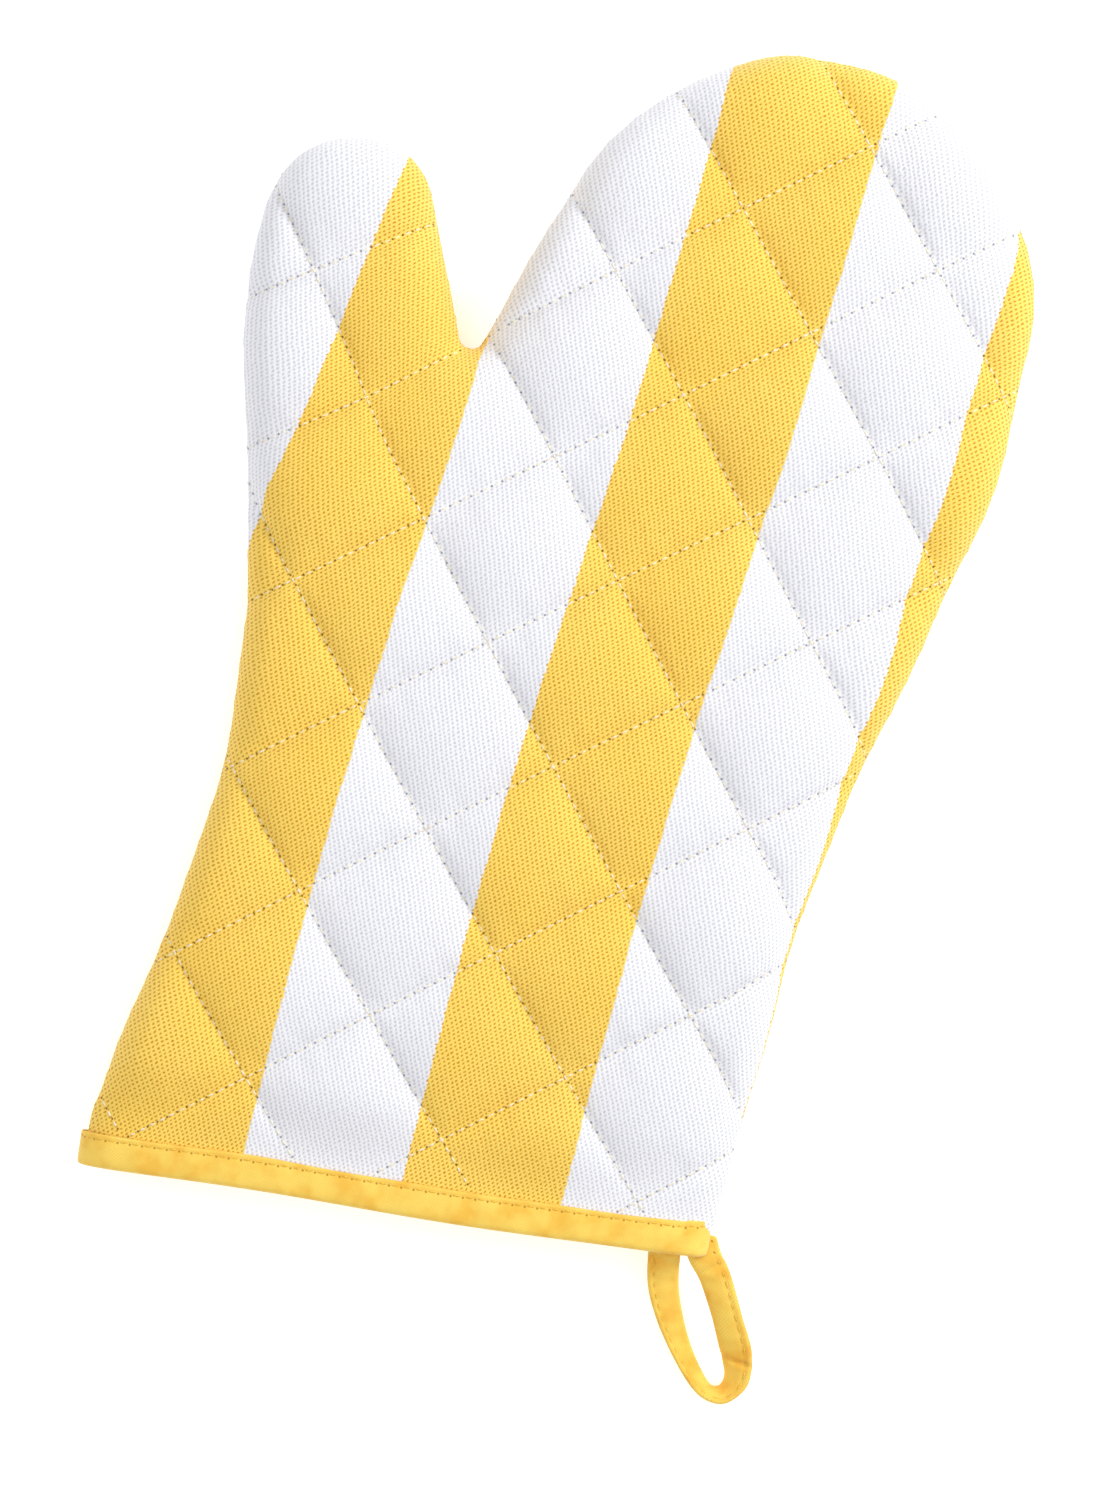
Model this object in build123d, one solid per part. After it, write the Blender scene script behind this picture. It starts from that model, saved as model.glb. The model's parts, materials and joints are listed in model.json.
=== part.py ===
from build123d import *
import math
import os

# A quilted oven mitt lying flat with its palm side up. Each side is a padded panel of cover,
# wadding and lining, quilted in diamonds. The two panels are sewn together round the edge and
# turned, the cuff is bound with tape, and a tape loop to hang it by is sewn into its side seam.
# The model is built with the middle of the cuff's edge at X = Y = 0, the fingers towards +Y and
# the seam plane at Z = 0. It is moved to its own origin, under its middle, when it is written.

# Driving dimensions, in millimetres.
SEAM_HEIGHT = 11.0          # the side seam above the surface that the mitt lies on
PALM_RISE = 17.0            # the palm panel's top above the side seam
FLAT_EDGE = 2.0             # upright part of each panel's flank beside the seam
COVER = 0.8                 # striped cotton cloth
WADDING = 4.2               # cotton wadding
LINING = 0.6                # plain cotton cloth
WALL = COVER + WADDING + LINING

BINDING_WIDTH = 7.8         # the tape's visible width on each face of the cuff
BINDING = 0.6               # the tape's thickness
BINDING_STITCH_LINE = 6.8   # its top-stitching, measured from the cuff's edge

QUILT_PITCH = 35.0          # between neighbouring quilting lines
QUILT_NODE = (32.7, 163.0)  # where two quilting lines cross
QUILT_ANGLES = (127.2, 34.7)
QUILT_LINES_EACH_WAY = 7
STITCH_WIDTH = 1.0
STITCH_DEPTH = 0.4

ALLOWANCE = 5.0             # the trimmed edge of both panels, inside the side seam
ALLOWANCE_HALF = 1.5        # half of its thickness
OVERLOCK = 0.4              # thread wrapped over the trimmed edge
OVERLOCK_REACH = 2.0
SEAM_LINE = 0.7             # the side seam's thread, measured into the allowance
THREAD = 0.5

LOOP_TAPE = 1.6             # two layers of edge-stitched tape
LOOP_HINGE_Y = -2.2         # the line that the loop swings about, just outside the cuff
LOOP_TILT = 14.0            # how far it slopes down to the surface at rest, in degrees
LOOP_TAIL = 10.0            # how far its sewn-in ends reach into the cuff
LOOP_GAP = 0.3              # between its swinging part and its sewn-in ends
LOOP_STITCH_INSET = 1.0

THUMB_FOLD_TOP = (-21.0, 214.0)   # the fold at the thumb's base runs between these two places,
THUMB_FOLD_LOW = (-59.0, 124.0)   # from beside the crotch to the wrist's thumb-side edge
FOLD_GAP = 0.3

# The mitt's edge as corners with the radius that rounds each one. The first and last points lie
# beyond the cuff, and the mitt is cut straight across at Y = 0.
OUTLINE = (
    (-92.2, -40.0, 0.0),
    (-54.2, 115.1, 230.0),    # thumb-side wrist
    (-72.3, 218.0, 95.0),     # outer side of the thumb
    (-68.8, 261.8, 23.0),     # outer side of the thumb's tip
    (-33.1, 264.6, 17.5),     # inner side of the thumb's tip
    (-14.2, 211.3, 2.5),      # crotch
    (15.7, 285.3, 70.0),      # thumb side of the fingers' end
    (53.7, 301.1, 35.0),      # fingertips
    (126.9, 295.0, 61.0),     # outer side of the fingers' end
    (122.8, 202.6, 160.0),    # outer edge of the hand
    (90.8, 97.7, 320.0),      # outer wrist
    (74.3, -40.0, 0.0),
)

# The loop's outer edge and its hole, drawn flat, with the radius that rounds each corner.
LOOP_OUTER = (
    (64.4, LOOP_HINGE_Y, 0.0),
    (64.6, -12.0, 20.0),
    (83.0, -38.0, 8.0),
    (96.0, -38.0, 7.0),
    (94.5, -25.0, 14.0),
    (84.0, LOOP_HINGE_Y, 0.0),
)
LOOP_HOLE = (
    (72.4, -4.5, 1.2),
    (73.2, -13.0, 15.0),
    (84.6, -34.8, 2.0),
    (90.0, -35.0, 1.5),
    (87.0, -23.0, 20.0),
    (77.0, -4.5, 1.2),
)

REACH = 400.0               # larger than the mitt, for cutting solids


def slab(y_from, y_to):
    """The space between two distances from the cuff's edge."""
    return Pos(0, (y_from + y_to) / 2, 0) * Box(REACH, y_to - y_from, REACH)


def rounded_face(corners, closed):
    """A flat face inside corners that are rounded by the radius each one carries."""
    points = [(x, y) for x, y, _ in corners]
    if closed:
        return make_face(FilletPolyline(*points, radius=[r for *_, r in corners], close=True))
    edge = FilletPolyline(*points, radius=[r for *_, r in corners[1:-1]])
    return make_face([edge, Line(points[-1], points[0])])


def outline_face(inset):
    """The mitt's plan shape, drawn in from its edge by inset."""
    face = rounded_face(OUTLINE, closed=False)
    return offset(face, -inset) if inset else face


pillows = {}


def pillow(inset):
    """A closed solid with rounded flanks, parallel to the mitt's outer surface and inset from it."""
    if inset not in pillows:
        top = PALM_RISE - inset
        bottom = SEAM_HEIGHT - inset
        solid = extrude(Pos(0, 0, -bottom) * outline_face(inset), amount=top + bottom)
        levels = solid.edges().group_by(Axis.Z)
        solid = fillet(levels[-1], top - FLAT_EDGE)
        solid = fillet(solid.edges().group_by(Axis.Z)[0], bottom - FLAT_EDGE)
        pillows[inset] = solid
    return pillows[inset]


def layer(outer, inner, y_from, y_to=REACH):
    """The shell between two pillows, over part of the mitt's length."""
    return (pillow(outer) - pillow(inner)) & slab(y_from, y_to)


def palm_half(solid):
    """What lies above the side seam."""
    return solid & (Pos(0, 0, REACH / 2) * Box(2 * REACH, 2 * REACH, REACH))


def back_half(solid):
    """What lies below the side seam."""
    return solid & (Pos(0, 0, -REACH / 2) * Box(2 * REACH, 2 * REACH, REACH))


def at_fold(solid, side):
    """The part of a solid on one side of the fold at the thumb's base: +1 hand, -1 thumb."""
    run_x = THUMB_FOLD_TOP[0] - THUMB_FOLD_LOW[0]
    run_y = THUMB_FOLD_TOP[1] - THUMB_FOLD_LOW[1]
    angle = math.degrees(math.atan2(run_y, run_x))
    beside = Pos(0, -side * (REACH + FOLD_GAP / 2), 0) * Box(4 * REACH, 2 * REACH, REACH)
    return solid & (Pos(*THUMB_FOLD_LOW, 0) * Rot(0, 0, angle) * beside)


def cover():
    """Striped cloth, thinner in outline where the binding grips it."""
    body = layer(0.0, COVER, BINDING_WIDTH)
    gripped = layer(BINDING, BINDING + COVER, BINDING, BINDING_WIDTH)
    return body + gripped


def wadding():
    """The thick middle layer."""
    body = layer(COVER, COVER + WADDING, BINDING_WIDTH)
    gripped = layer(BINDING + COVER, COVER + WADDING, BINDING, BINDING_WIDTH)
    return body + gripped


def lining():
    """The inner cloth, which is the wall of the hand's space."""
    return layer(COVER + WADDING, WALL, BINDING)


def quilting_thread():
    """Every quilting line, sunk flush into the cover's surface."""
    walls = []
    for angle in QUILT_ANGLES:
        turned = Pos(*QUILT_NODE, 0) * Rot(0, 0, angle)
        for line in range(-QUILT_LINES_EACH_WAY, QUILT_LINES_EACH_WAY + 1):
            walls.append(turned * Pos(0, line * QUILT_PITCH, 0) * Box(2 * REACH, STITCH_WIDTH, REACH))
    return layer(0.0, STITCH_DEPTH, BINDING_WIDTH) & (Part() + walls)


def flat_band(outer_inset, inner_inset, half_thickness):
    """A band along the whole side seam, between two distances from the mitt's edge."""
    ring = outline_face(outer_inset) - outline_face(inner_inset)
    band = extrude(Pos(0, 0, -half_thickness) * ring, amount=2 * half_thickness)
    return band & slab(BINDING_WIDTH, REACH)


def seam_thread():
    """The row of stitches that joins the two panels."""
    start = WALL + SEAM_LINE
    return flat_band(start, start + THREAD, ALLOWANCE_HALF)


def seam_allowance():
    """Both panels' trimmed edges, lying inside the mitt along the side seam."""
    return flat_band(WALL, WALL + ALLOWANCE, ALLOWANCE_HALF) - seam_thread()


def overlock_thread():
    """Thread wrapped over the free edge of the seam allowance."""
    edge = WALL + ALLOWANCE
    wrap = flat_band(edge - OVERLOCK_REACH, edge + OVERLOCK, ALLOWANCE_HALF + OVERLOCK)
    return wrap - flat_band(edge - OVERLOCK_REACH, edge, ALLOWANCE_HALF)


def loop_tails():
    """The loop's two ends, side by side in the side seam under the binding."""
    left = LOOP_OUTER[0][0]
    right = LOOP_OUTER[-1][0] - 4.0
    start = LOOP_HINGE_Y + LOOP_TAPE / 2 + LOOP_GAP
    length = LOOP_TAIL - start
    middle = ((left + right) / 2, start + length / 2, 0)
    return Pos(*middle) * Box(right - left, length, LOOP_TAPE)


def binding():
    """Tape folded over the cuff's edge, outside and inside."""
    folded = layer(0.0, WALL + BINDING, 0.0, BINDING_WIDTH)
    return folded - layer(BINDING, WALL, BINDING, BINDING_WIDTH)


def binding_stitching():
    """The tape's row of top-stitching, flush in its outer face."""
    half = THREAD / 2
    return layer(0.0, STITCH_DEPTH, BINDING_STITCH_LINE - half, BINDING_STITCH_LINE + half)


def tilt_to_surface(solid):
    """A solid drawn flat, swung down about the loop's hinge line to where it rests."""
    return Pos(0, LOOP_HINGE_Y, 0) * Rot(LOOP_TILT, 0, 0) * Pos(0, -LOOP_HINGE_Y, 0) * solid


def loop_face(inset):
    """The loop's outer shape without its hole, drawn in by inset."""
    face = rounded_face(LOOP_OUTER, closed=False)
    return offset(face, -inset) if inset else face


def hanging_loop():
    """The tape loop, with a rounded root on its hinge line."""
    half = LOOP_TAPE / 2
    strap = extrude(Pos(0, 0, -half) * loop_face(0.0), amount=LOOP_TAPE)
    width = LOOP_OUTER[-1][0] - LOOP_OUTER[0][0]
    middle = (LOOP_OUTER[-1][0] + LOOP_OUTER[0][0]) / 2
    root = Pos(middle, LOOP_HINGE_Y, 0) * Rot(0, 90, 0) * Cylinder(half, width)
    hole = Pos(0, 0, -LOOP_TAPE) * rounded_face(LOOP_HOLE, closed=True)
    return tilt_to_surface(strap + root - extrude(hole, amount=2 * LOOP_TAPE))


def loop_stitching():
    """The row of stitches round the loop's outer edge, flush in its upper face."""
    ring = loop_face(LOOP_STITCH_INSET) - loop_face(LOOP_STITCH_INSET + THREAD)
    row = extrude(Pos(0, 0, LOOP_TAPE / 2 - STITCH_DEPTH) * ring, amount=STITCH_DEPTH)
    root_end = LOOP_HINGE_Y - 2 * THREAD
    return tilt_to_surface(row & slab(-REACH, root_end))


def panel_nodes():
    """Each panel's layers, each one cut at the fold at the thumb's base."""
    thread = quilting_thread()
    tails = loop_tails()
    layers = {
        "cover": cover() - thread - tails,
        "wadding": wadding() - tails,
        "lining": lining() - tails,
        "quilting_thread": thread,
    }
    nodes = {}
    for name, solid in layers.items():
        for panel, half in (("palm", palm_half(solid)), ("back", back_half(solid))):
            nodes[f"{panel}_{name}"] = at_fold(half, 1)
            nodes[f"{panel}_{name}_thumb"] = at_fold(half, -1)
    return nodes


def seam_nodes():
    """What runs along the side seam, each piece cut at the fold at the thumb's base."""
    tails = loop_tails()
    bands = {
        "seam_allowance": seam_allowance() - tails,
        "seam_thread": seam_thread() - tails,
        "overlock_thread": overlock_thread() - tails,
    }
    nodes = {}
    for name, solid in bands.items():
        nodes[name] = at_fold(solid, 1)
        nodes[f"{name}_thumb"] = at_fold(solid, -1)
    return nodes


def cuff_nodes():
    """The binding and the hanging loop."""
    tails = loop_tails()
    row = binding_stitching() - tails
    loop_row = loop_stitching()
    return {
        "cuff_binding": binding() - tails - row,
        "binding_stitching": row,
        "loop_tails": tails,
        "hanging_loop": hanging_loop() - loop_row,
        "loop_stitching": loop_row,
    }


def main():
    """Write each node to its own file, with the origin under the middle of the whole mitt."""
    os.makedirs("parts", exist_ok=True)
    nodes = {**panel_nodes(), **seam_nodes(), **cuff_nodes()}
    box = Compound(children=[solid for part in nodes.values() for solid in part.solids()]).bounding_box()
    to_origin = Pos(-box.center().X, -box.center().Y, -box.min.Z)
    print("cuff's middle", [round(v, 3) for v in (-box.center().X, -box.center().Y, -box.min.Z)])
    for name, part in nodes.items():
        export_step(to_origin * Compound(part.solids()), f"parts/{name}.step")


main()
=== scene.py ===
"""A quilted oven mitt lying palm up: striped cotton panels, tape-bound cuff and a tape loop.

The mitt is drawn in millimetres in its own drawing frame, with the middle of the cuff's edge at
X = Y = 0, the fingers towards +Y and the side seam at Z = 0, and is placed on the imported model.
"""

import json
import logging
import math
from collections.abc import Sequence
from dataclasses import dataclass, field
from enum import Enum

import bmesh
import bpy
import numpy as np
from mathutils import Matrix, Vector
from mathutils.geometry import delaunay_2d_cdt


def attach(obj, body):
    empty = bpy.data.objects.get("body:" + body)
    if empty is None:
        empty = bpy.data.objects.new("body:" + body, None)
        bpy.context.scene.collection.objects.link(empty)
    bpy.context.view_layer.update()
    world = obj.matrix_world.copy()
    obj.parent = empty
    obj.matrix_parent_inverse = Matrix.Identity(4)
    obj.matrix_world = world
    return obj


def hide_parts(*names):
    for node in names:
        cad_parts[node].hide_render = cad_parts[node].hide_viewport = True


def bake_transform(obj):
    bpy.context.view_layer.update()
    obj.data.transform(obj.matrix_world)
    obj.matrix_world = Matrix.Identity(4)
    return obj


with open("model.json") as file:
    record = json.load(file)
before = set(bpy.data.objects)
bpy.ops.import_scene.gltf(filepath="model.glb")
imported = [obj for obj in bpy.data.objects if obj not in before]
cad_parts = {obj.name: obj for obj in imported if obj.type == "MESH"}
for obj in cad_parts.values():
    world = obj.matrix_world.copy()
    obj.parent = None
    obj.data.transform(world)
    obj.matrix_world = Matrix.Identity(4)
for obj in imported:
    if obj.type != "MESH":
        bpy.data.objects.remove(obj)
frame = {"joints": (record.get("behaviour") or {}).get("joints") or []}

log = logging.getLogger("oven_mitt")

MM = 0.001                      # metres in a millimetre
MAP_SCALE = 0.01                # units of a cloth map in a millimetre
MATH = "ShaderNodeMath"
VECTOR = "ShaderNodeVectorMath"
NOISE = "ShaderNodeTexNoise"
RANGE = "ShaderNodeMapRange"
MIX = "ShaderNodeMix"
COLOURS = {"data_type": "RGBA", "output": 2}   # makes a mix node mix colours, its inputs 6 and 7
FULL_PANEL = 5.6                # thickness of a panel where nothing presses it
BLEND_ON_HAND = 4.0             # how far the thumb's fold reaches to each side of its hinge line
BLEND_ON_THUMB = 26.0

Array = np.ndarray


class Side(Enum):
    """The two panels: the sign is the way that each one bulges from the side seam."""

    PALM = 1
    BACK = -1


# ---------------------------------------------------------------------------------------------
# Small tools
# ---------------------------------------------------------------------------------------------


def smooth(value: Array | float, start: float, end: float) -> Array:
    """A smooth step.

    Args:
        value: Where the step is read.
        start: Where it leaves 0.
        end: Where it reaches 1.

    Returns:
        Values from 0 to 1.
    """
    t = np.clip((np.asarray(value, float) - start) / (end - start), 0.0, 1.0)
    return t * t * (3.0 - 2.0 * t)


def unit(vectors: Array) -> Array:
    """The same vectors, each one long.

    Args:
        vectors: One to a row.

    Returns:
        The unit vectors.
    """
    length = np.linalg.norm(vectors, axis=-1, keepdims=True)
    return vectors / np.maximum(length, 1e-12)


def ripple(along: Array, waves: Sequence[tuple[float, float]]) -> Array:
    """A sum of sines that reads as an uneven ripple.

    Args:
        along: Distance in millimetres.
        waves: Each wave's length in millimetres and its phase.

    Returns:
        Values between -1 and 1.
    """
    total = sum(np.sin(2.0 * math.pi * along / length + phase) for length, phase in waves)
    return total / len(waves)


def resample(points: Array, spacing: float, closed: bool = False) -> Array:
    """Evenly spaced points on a polyline.

    Args:
        points: The polyline's corners.
        spacing: The wanted distance between neighbours.
        closed: Whether the last corner joins the first.

    Returns:
        The new points. A closed line doesn't repeat its first point.
    """
    line = np.vstack([points, points[:1]]) if closed else points
    steps = np.linalg.norm(np.diff(line, axis=0), axis=1)
    run = np.concatenate([[0.0], np.cumsum(steps)])
    count = max(2, int(round(run[-1] / spacing)))
    places = np.linspace(0.0, run[-1], count + 1)
    columns = [np.interp(places, run, line[:, k]) for k in range(line.shape[1])]
    even = np.stack(columns, axis=1)
    return even[:-1] if closed else even


def inside_line(plan: Array, line: Array) -> Array:
    """Which places lie inside a line whose ends are joined.

    Args:
        plan: Places on the plan.
        line: The line's points.

    Returns:
        True for each place inside.
    """
    closed = np.vstack([line, line[:1]])
    x, y = plan[:, 0], plan[:, 1]
    crossings = np.zeros(len(plan), dtype=int)
    for (x0, y0), (x1, y1) in zip(closed, closed[1:]):
        spans = (y0 > y) != (y1 > y)
        if spans.any():
            crossings += spans & (x < x0 + (y - y0) * (x1 - x0) / ((y1 - y0) or 1.0))
    return crossings % 2 == 1


def smooth_curve(points: Sequence[Sequence[float]], count: int) -> Array:
    """A curve through given points, as a centripetal-like cubic spline.

    Args:
        points: The points that it passes through.
        count: How many points to return.

    Returns:
        Points along the curve, even in the spline's own parameter.
    """
    knots = np.asarray(points, float)
    slopes = np.empty_like(knots)
    slopes[1:-1] = (knots[2:] - knots[:-2]) / 2.0
    slopes[0] = knots[1] - knots[0]
    slopes[-1] = knots[-1] - knots[-2]
    place = np.linspace(0.0, len(knots) - 1.0, count)
    first = np.minimum(place.astype(int), len(knots) - 2)
    t = (place - first)[:, None]
    a, b = knots[first], knots[first + 1]
    da, db = slopes[first], slopes[first + 1]
    return (
        (2 * t**3 - 3 * t**2 + 1) * a + (t**3 - 2 * t**2 + t) * da
        + (3 * t**2 - 2 * t**3) * b + (t**3 - t**2) * db
    )


# ---------------------------------------------------------------------------------------------
# The drawing frame, the outline and the lay of the cloth
# ---------------------------------------------------------------------------------------------


@dataclass(frozen=True)
class Drawing:
    """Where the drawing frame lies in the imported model's frame."""

    loop_hinge_x: float = 74.2      # the loop's hinge, in the drawing frame
    loop_hinge_y: float = -2.2
    origin: Array = field(default_factory=lambda: np.zeros(3))

    @classmethod
    def from_frame(cls, joints: Sequence[dict]) -> "Drawing":
        """The drawing frame, placed by the loop's hinge.

        Args:
            joints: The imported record's joints.

        Returns:
            The drawing frame.
        """
        hinge = next(joint for joint in joints if joint["name"] == "loop_swing")
        place = np.array(hinge["pos_m"]) / MM
        origin = place - np.array([cls.loop_hinge_x, cls.loop_hinge_y, 0.0])
        return cls(origin=origin)

    def metres(self, points: Array) -> Array:
        """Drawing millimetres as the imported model's metres.

        Args:
            points: Points in the drawing frame.

        Returns:
            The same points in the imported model's frame.
        """
        return (np.asarray(points, float) + self.origin) * MM


@dataclass(frozen=True)
class Outline:
    """The mitt's plan shape: corners, each with the radius that rounds it."""

    corners: tuple[tuple[float, float, float], ...] = (
        (-92.2, -40.0, 0.0),
        (-54.2, 115.1, 230.0),
        (-72.3, 218.0, 95.0),
        (-68.8, 261.8, 23.0),
        (-33.1, 264.6, 17.5),
        (-14.2, 211.3, 2.5),
        (15.7, 285.3, 70.0),
        (53.7, 301.1, 35.0),
        (126.9, 295.0, 61.0),
        (122.8, 202.6, 160.0),
        (90.8, 97.7, 320.0),
        (74.3, -40.0, 0.0),
    )
    arc_step: float = math.radians(2.5)
    cuff_draw: float = 2.1           # how far the binding draws the cuff in on the thumb's side

    def edge(self, inset: float = 0.0) -> Array:
        """The outline as close points, from below the cuff round to below the cuff.

        Args:
            inset: How far the line is drawn in from the mitt's edge.

        Returns:
            Points, clockwise, evenly spaced.
        """
        corners = np.array(self.corners)
        line = []
        for before, corner, after in zip(corners, corners[1:], corners[2:]):
            centre, start, sweep = self._arc(before[:2], corner, after[:2])
            turn = math.copysign(1.0, sweep)
            radius = corner[2] + turn * inset
            steps = max(6, int(abs(sweep) / self.arc_step * (1.0 + corner[2] / 60.0)))
            angles = start + sweep * np.linspace(0.0, 1.0, steps + 1)
            line.append(centre + radius * np.stack([np.cos(angles), np.sin(angles)], axis=1))
        inner = np.vstack(line)
        first = corners[0, :2] + inset * self._inward(corners[0, :2], corners[1, :2])
        last = corners[-1, :2] + inset * self._inward(corners[-2, :2], corners[-1, :2])
        points = resample(np.vstack([first, inner, last]), 1.0)
        drawn_in = np.where(points[:, 0] < -60.0, self.cuff_draw, 0.0)
        points[:, 0] += drawn_in * (1.0 - smooth(points[:, 1], 0.0, 14.0))
        return points

    @staticmethod
    def _inward(start: Array, end: Array) -> Array:
        """The unit normal to the right of a clockwise edge's run.

        Args:
            start: Where the edge starts.
            end: Where it ends.

        Returns:
            The normal.
        """
        run = unit(end - start)
        return np.array([run[1], -run[0]])

    @staticmethod
    def _arc(before: Array, corner: Array, after: Array) -> tuple[Array, float, float]:
        """The arc that rounds one corner.

        Args:
            before: The corner before.
            corner: The corner and its radius.
            after: The corner after.

        Returns:
            The arc's centre, its start angle, and its signed sweep.
        """
        place, radius = corner[:2], corner[2]
        back, on = unit(before - place), unit(after - place)
        half = math.acos(float(np.clip(back @ on, -1.0, 1.0))) / 2.0
        centre = place + unit(back + on) * radius / math.sin(half)
        start = place + back * radius / math.tan(half) - centre
        end = place + on * radius / math.tan(half) - centre
        first = math.atan2(start[1], start[0])
        sweep = (math.atan2(end[1], end[0]) - first + math.pi) % (2.0 * math.pi) - math.pi
        return centre, first, sweep


@dataclass(frozen=True)
class ClothLay:
    """How the striped cloth and its quilting lie on the mitt's plan."""

    stripe: float = 39.6                    # width of a stripe across the grain
    stripe_lean: float = math.radians(7.9)  # the grain leans from +Y towards +X
    bow: float = 2.8                        # the stripes bow towards the thumb above the cuff
    bow_length: float = 200.0
    thumb_turn: float = math.radians(4.6)   # the cloth is turned in the thumb
    thumb_root: tuple[float, float] = (-46.0, 168.0)
    thumb_fold: tuple[float, float] = (38.0, 90.0)      # the way that the turn's edge runs
    thumb_fold_at: tuple[float, float] = (-21.0, 214.0)
    outer_edge: tuple[tuple[float, float], ...] = (     # the wrist's outer edge: heights and places across
        (0.0, 79.6), (20.0, 82.0), (45.0, 84.6), (80.0, 89.0), (118.0, 97.4), (150.0, 106.4),
    )
    drawn_round: float = 1.9                # cloth drawn round the outer edge of the wrist
    pitch: float = 35.0                     # between neighbouring quilting lines
    node: tuple[float, float] = (32.7, 163.0)
    down_lines: float = math.radians(127.2)  # directions of the two sets of lines
    up_lines: float = math.radians(34.7)

    def cloth(self, plan: Array) -> Array:
        """Where each place on the plan lies on the uncut cloth, in millimetres.

        Args:
            plan: Places on the plan.

        Returns:
            Places on the uncut cloth.
        """
        root = np.array(self.thumb_root)
        fold = unit(np.array(self.thumb_fold))
        beyond = (plan - np.array(self.thumb_fold_at)) @ np.array([-fold[1], fold[0]])
        turn = -self.thumb_turn * smooth(beyond, -12.0, 26.0) * smooth(plan[:, 1], 110.0, 190.0)
        away = plan - root
        swung = np.stack([
            root[0] + away[:, 0] * np.cos(-turn) - away[:, 1] * np.sin(-turn),
            root[1] + away[:, 0] * np.sin(-turn) + away[:, 1] * np.cos(-turn),
        ], axis=1)
        swung[:, 0] += self.bow * np.sin(math.pi * np.clip(plan[:, 1] / self.bow_length, 0.0, 1.0))
        swung[:, 0] += self._turned_edge(plan)
        return swung

    def _turned_edge(self, plan: Array) -> Array:
        """Extra cloth drawn round the outer edge of the wrist, where the outer stripe just shows.

        Args:
            plan: Places on the plan.

        Returns:
            How much cloth, across the stripes.
        """
        heights, places = zip(*self.outer_edge)
        near = smooth(plan[:, 0] - np.interp(plan[:, 1], heights, places), -13.0, -1.0)
        on_wrist = smooth(plan[:, 1], 14.0, 50.0) * (1.0 - smooth(plan[:, 1], 105.0, 150.0))
        return self.drawn_round * near * on_wrist

    def plan(self, cloth: Array) -> Array:
        """The place on the plan of each place on the uncut cloth.

        Args:
            cloth: Places on the uncut cloth.

        Returns:
            Places on the plan.
        """
        guess = cloth.copy()
        for _ in range(12):
            guess += cloth - self.cloth(guess)
        return guess

    def grain(self, cloth: Array) -> Array:
        """Distances across and along the stripes.

        Args:
            cloth: Places on the uncut cloth.

        Returns:
            The two distances, one pair to a row.
        """
        across = np.array([math.cos(self.stripe_lean), -math.sin(self.stripe_lean)])
        along = np.array([math.sin(self.stripe_lean), math.cos(self.stripe_lean)])
        return np.stack([cloth @ across, cloth @ along], axis=1)

    def lattice(self, cloth: Array) -> Array:
        """Distances across the two sets of quilting lines, from the lines that cross at node.

        Args:
            cloth: Places on the uncut cloth.

        Returns:
            The two distances, one pair to a row.
        """
        normals = [(-math.sin(a), math.cos(a)) for a in (self.down_lines, self.up_lines)]
        return (cloth - np.array(self.node)) @ np.array(normals).T

    def from_lattice(self, lattice: Array) -> Array:
        """The place on the uncut cloth of distances across the two sets of quilting lines.

        Args:
            lattice: The two distances, one pair to a row.

        Returns:
            Places on the uncut cloth.
        """
        normals = np.array([(-math.sin(a), math.cos(a)) for a in (self.down_lines, self.up_lines)])
        return lattice @ np.linalg.inv(normals).T + np.array(self.node)


# ---------------------------------------------------------------------------------------------
# The padded form
# ---------------------------------------------------------------------------------------------


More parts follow.
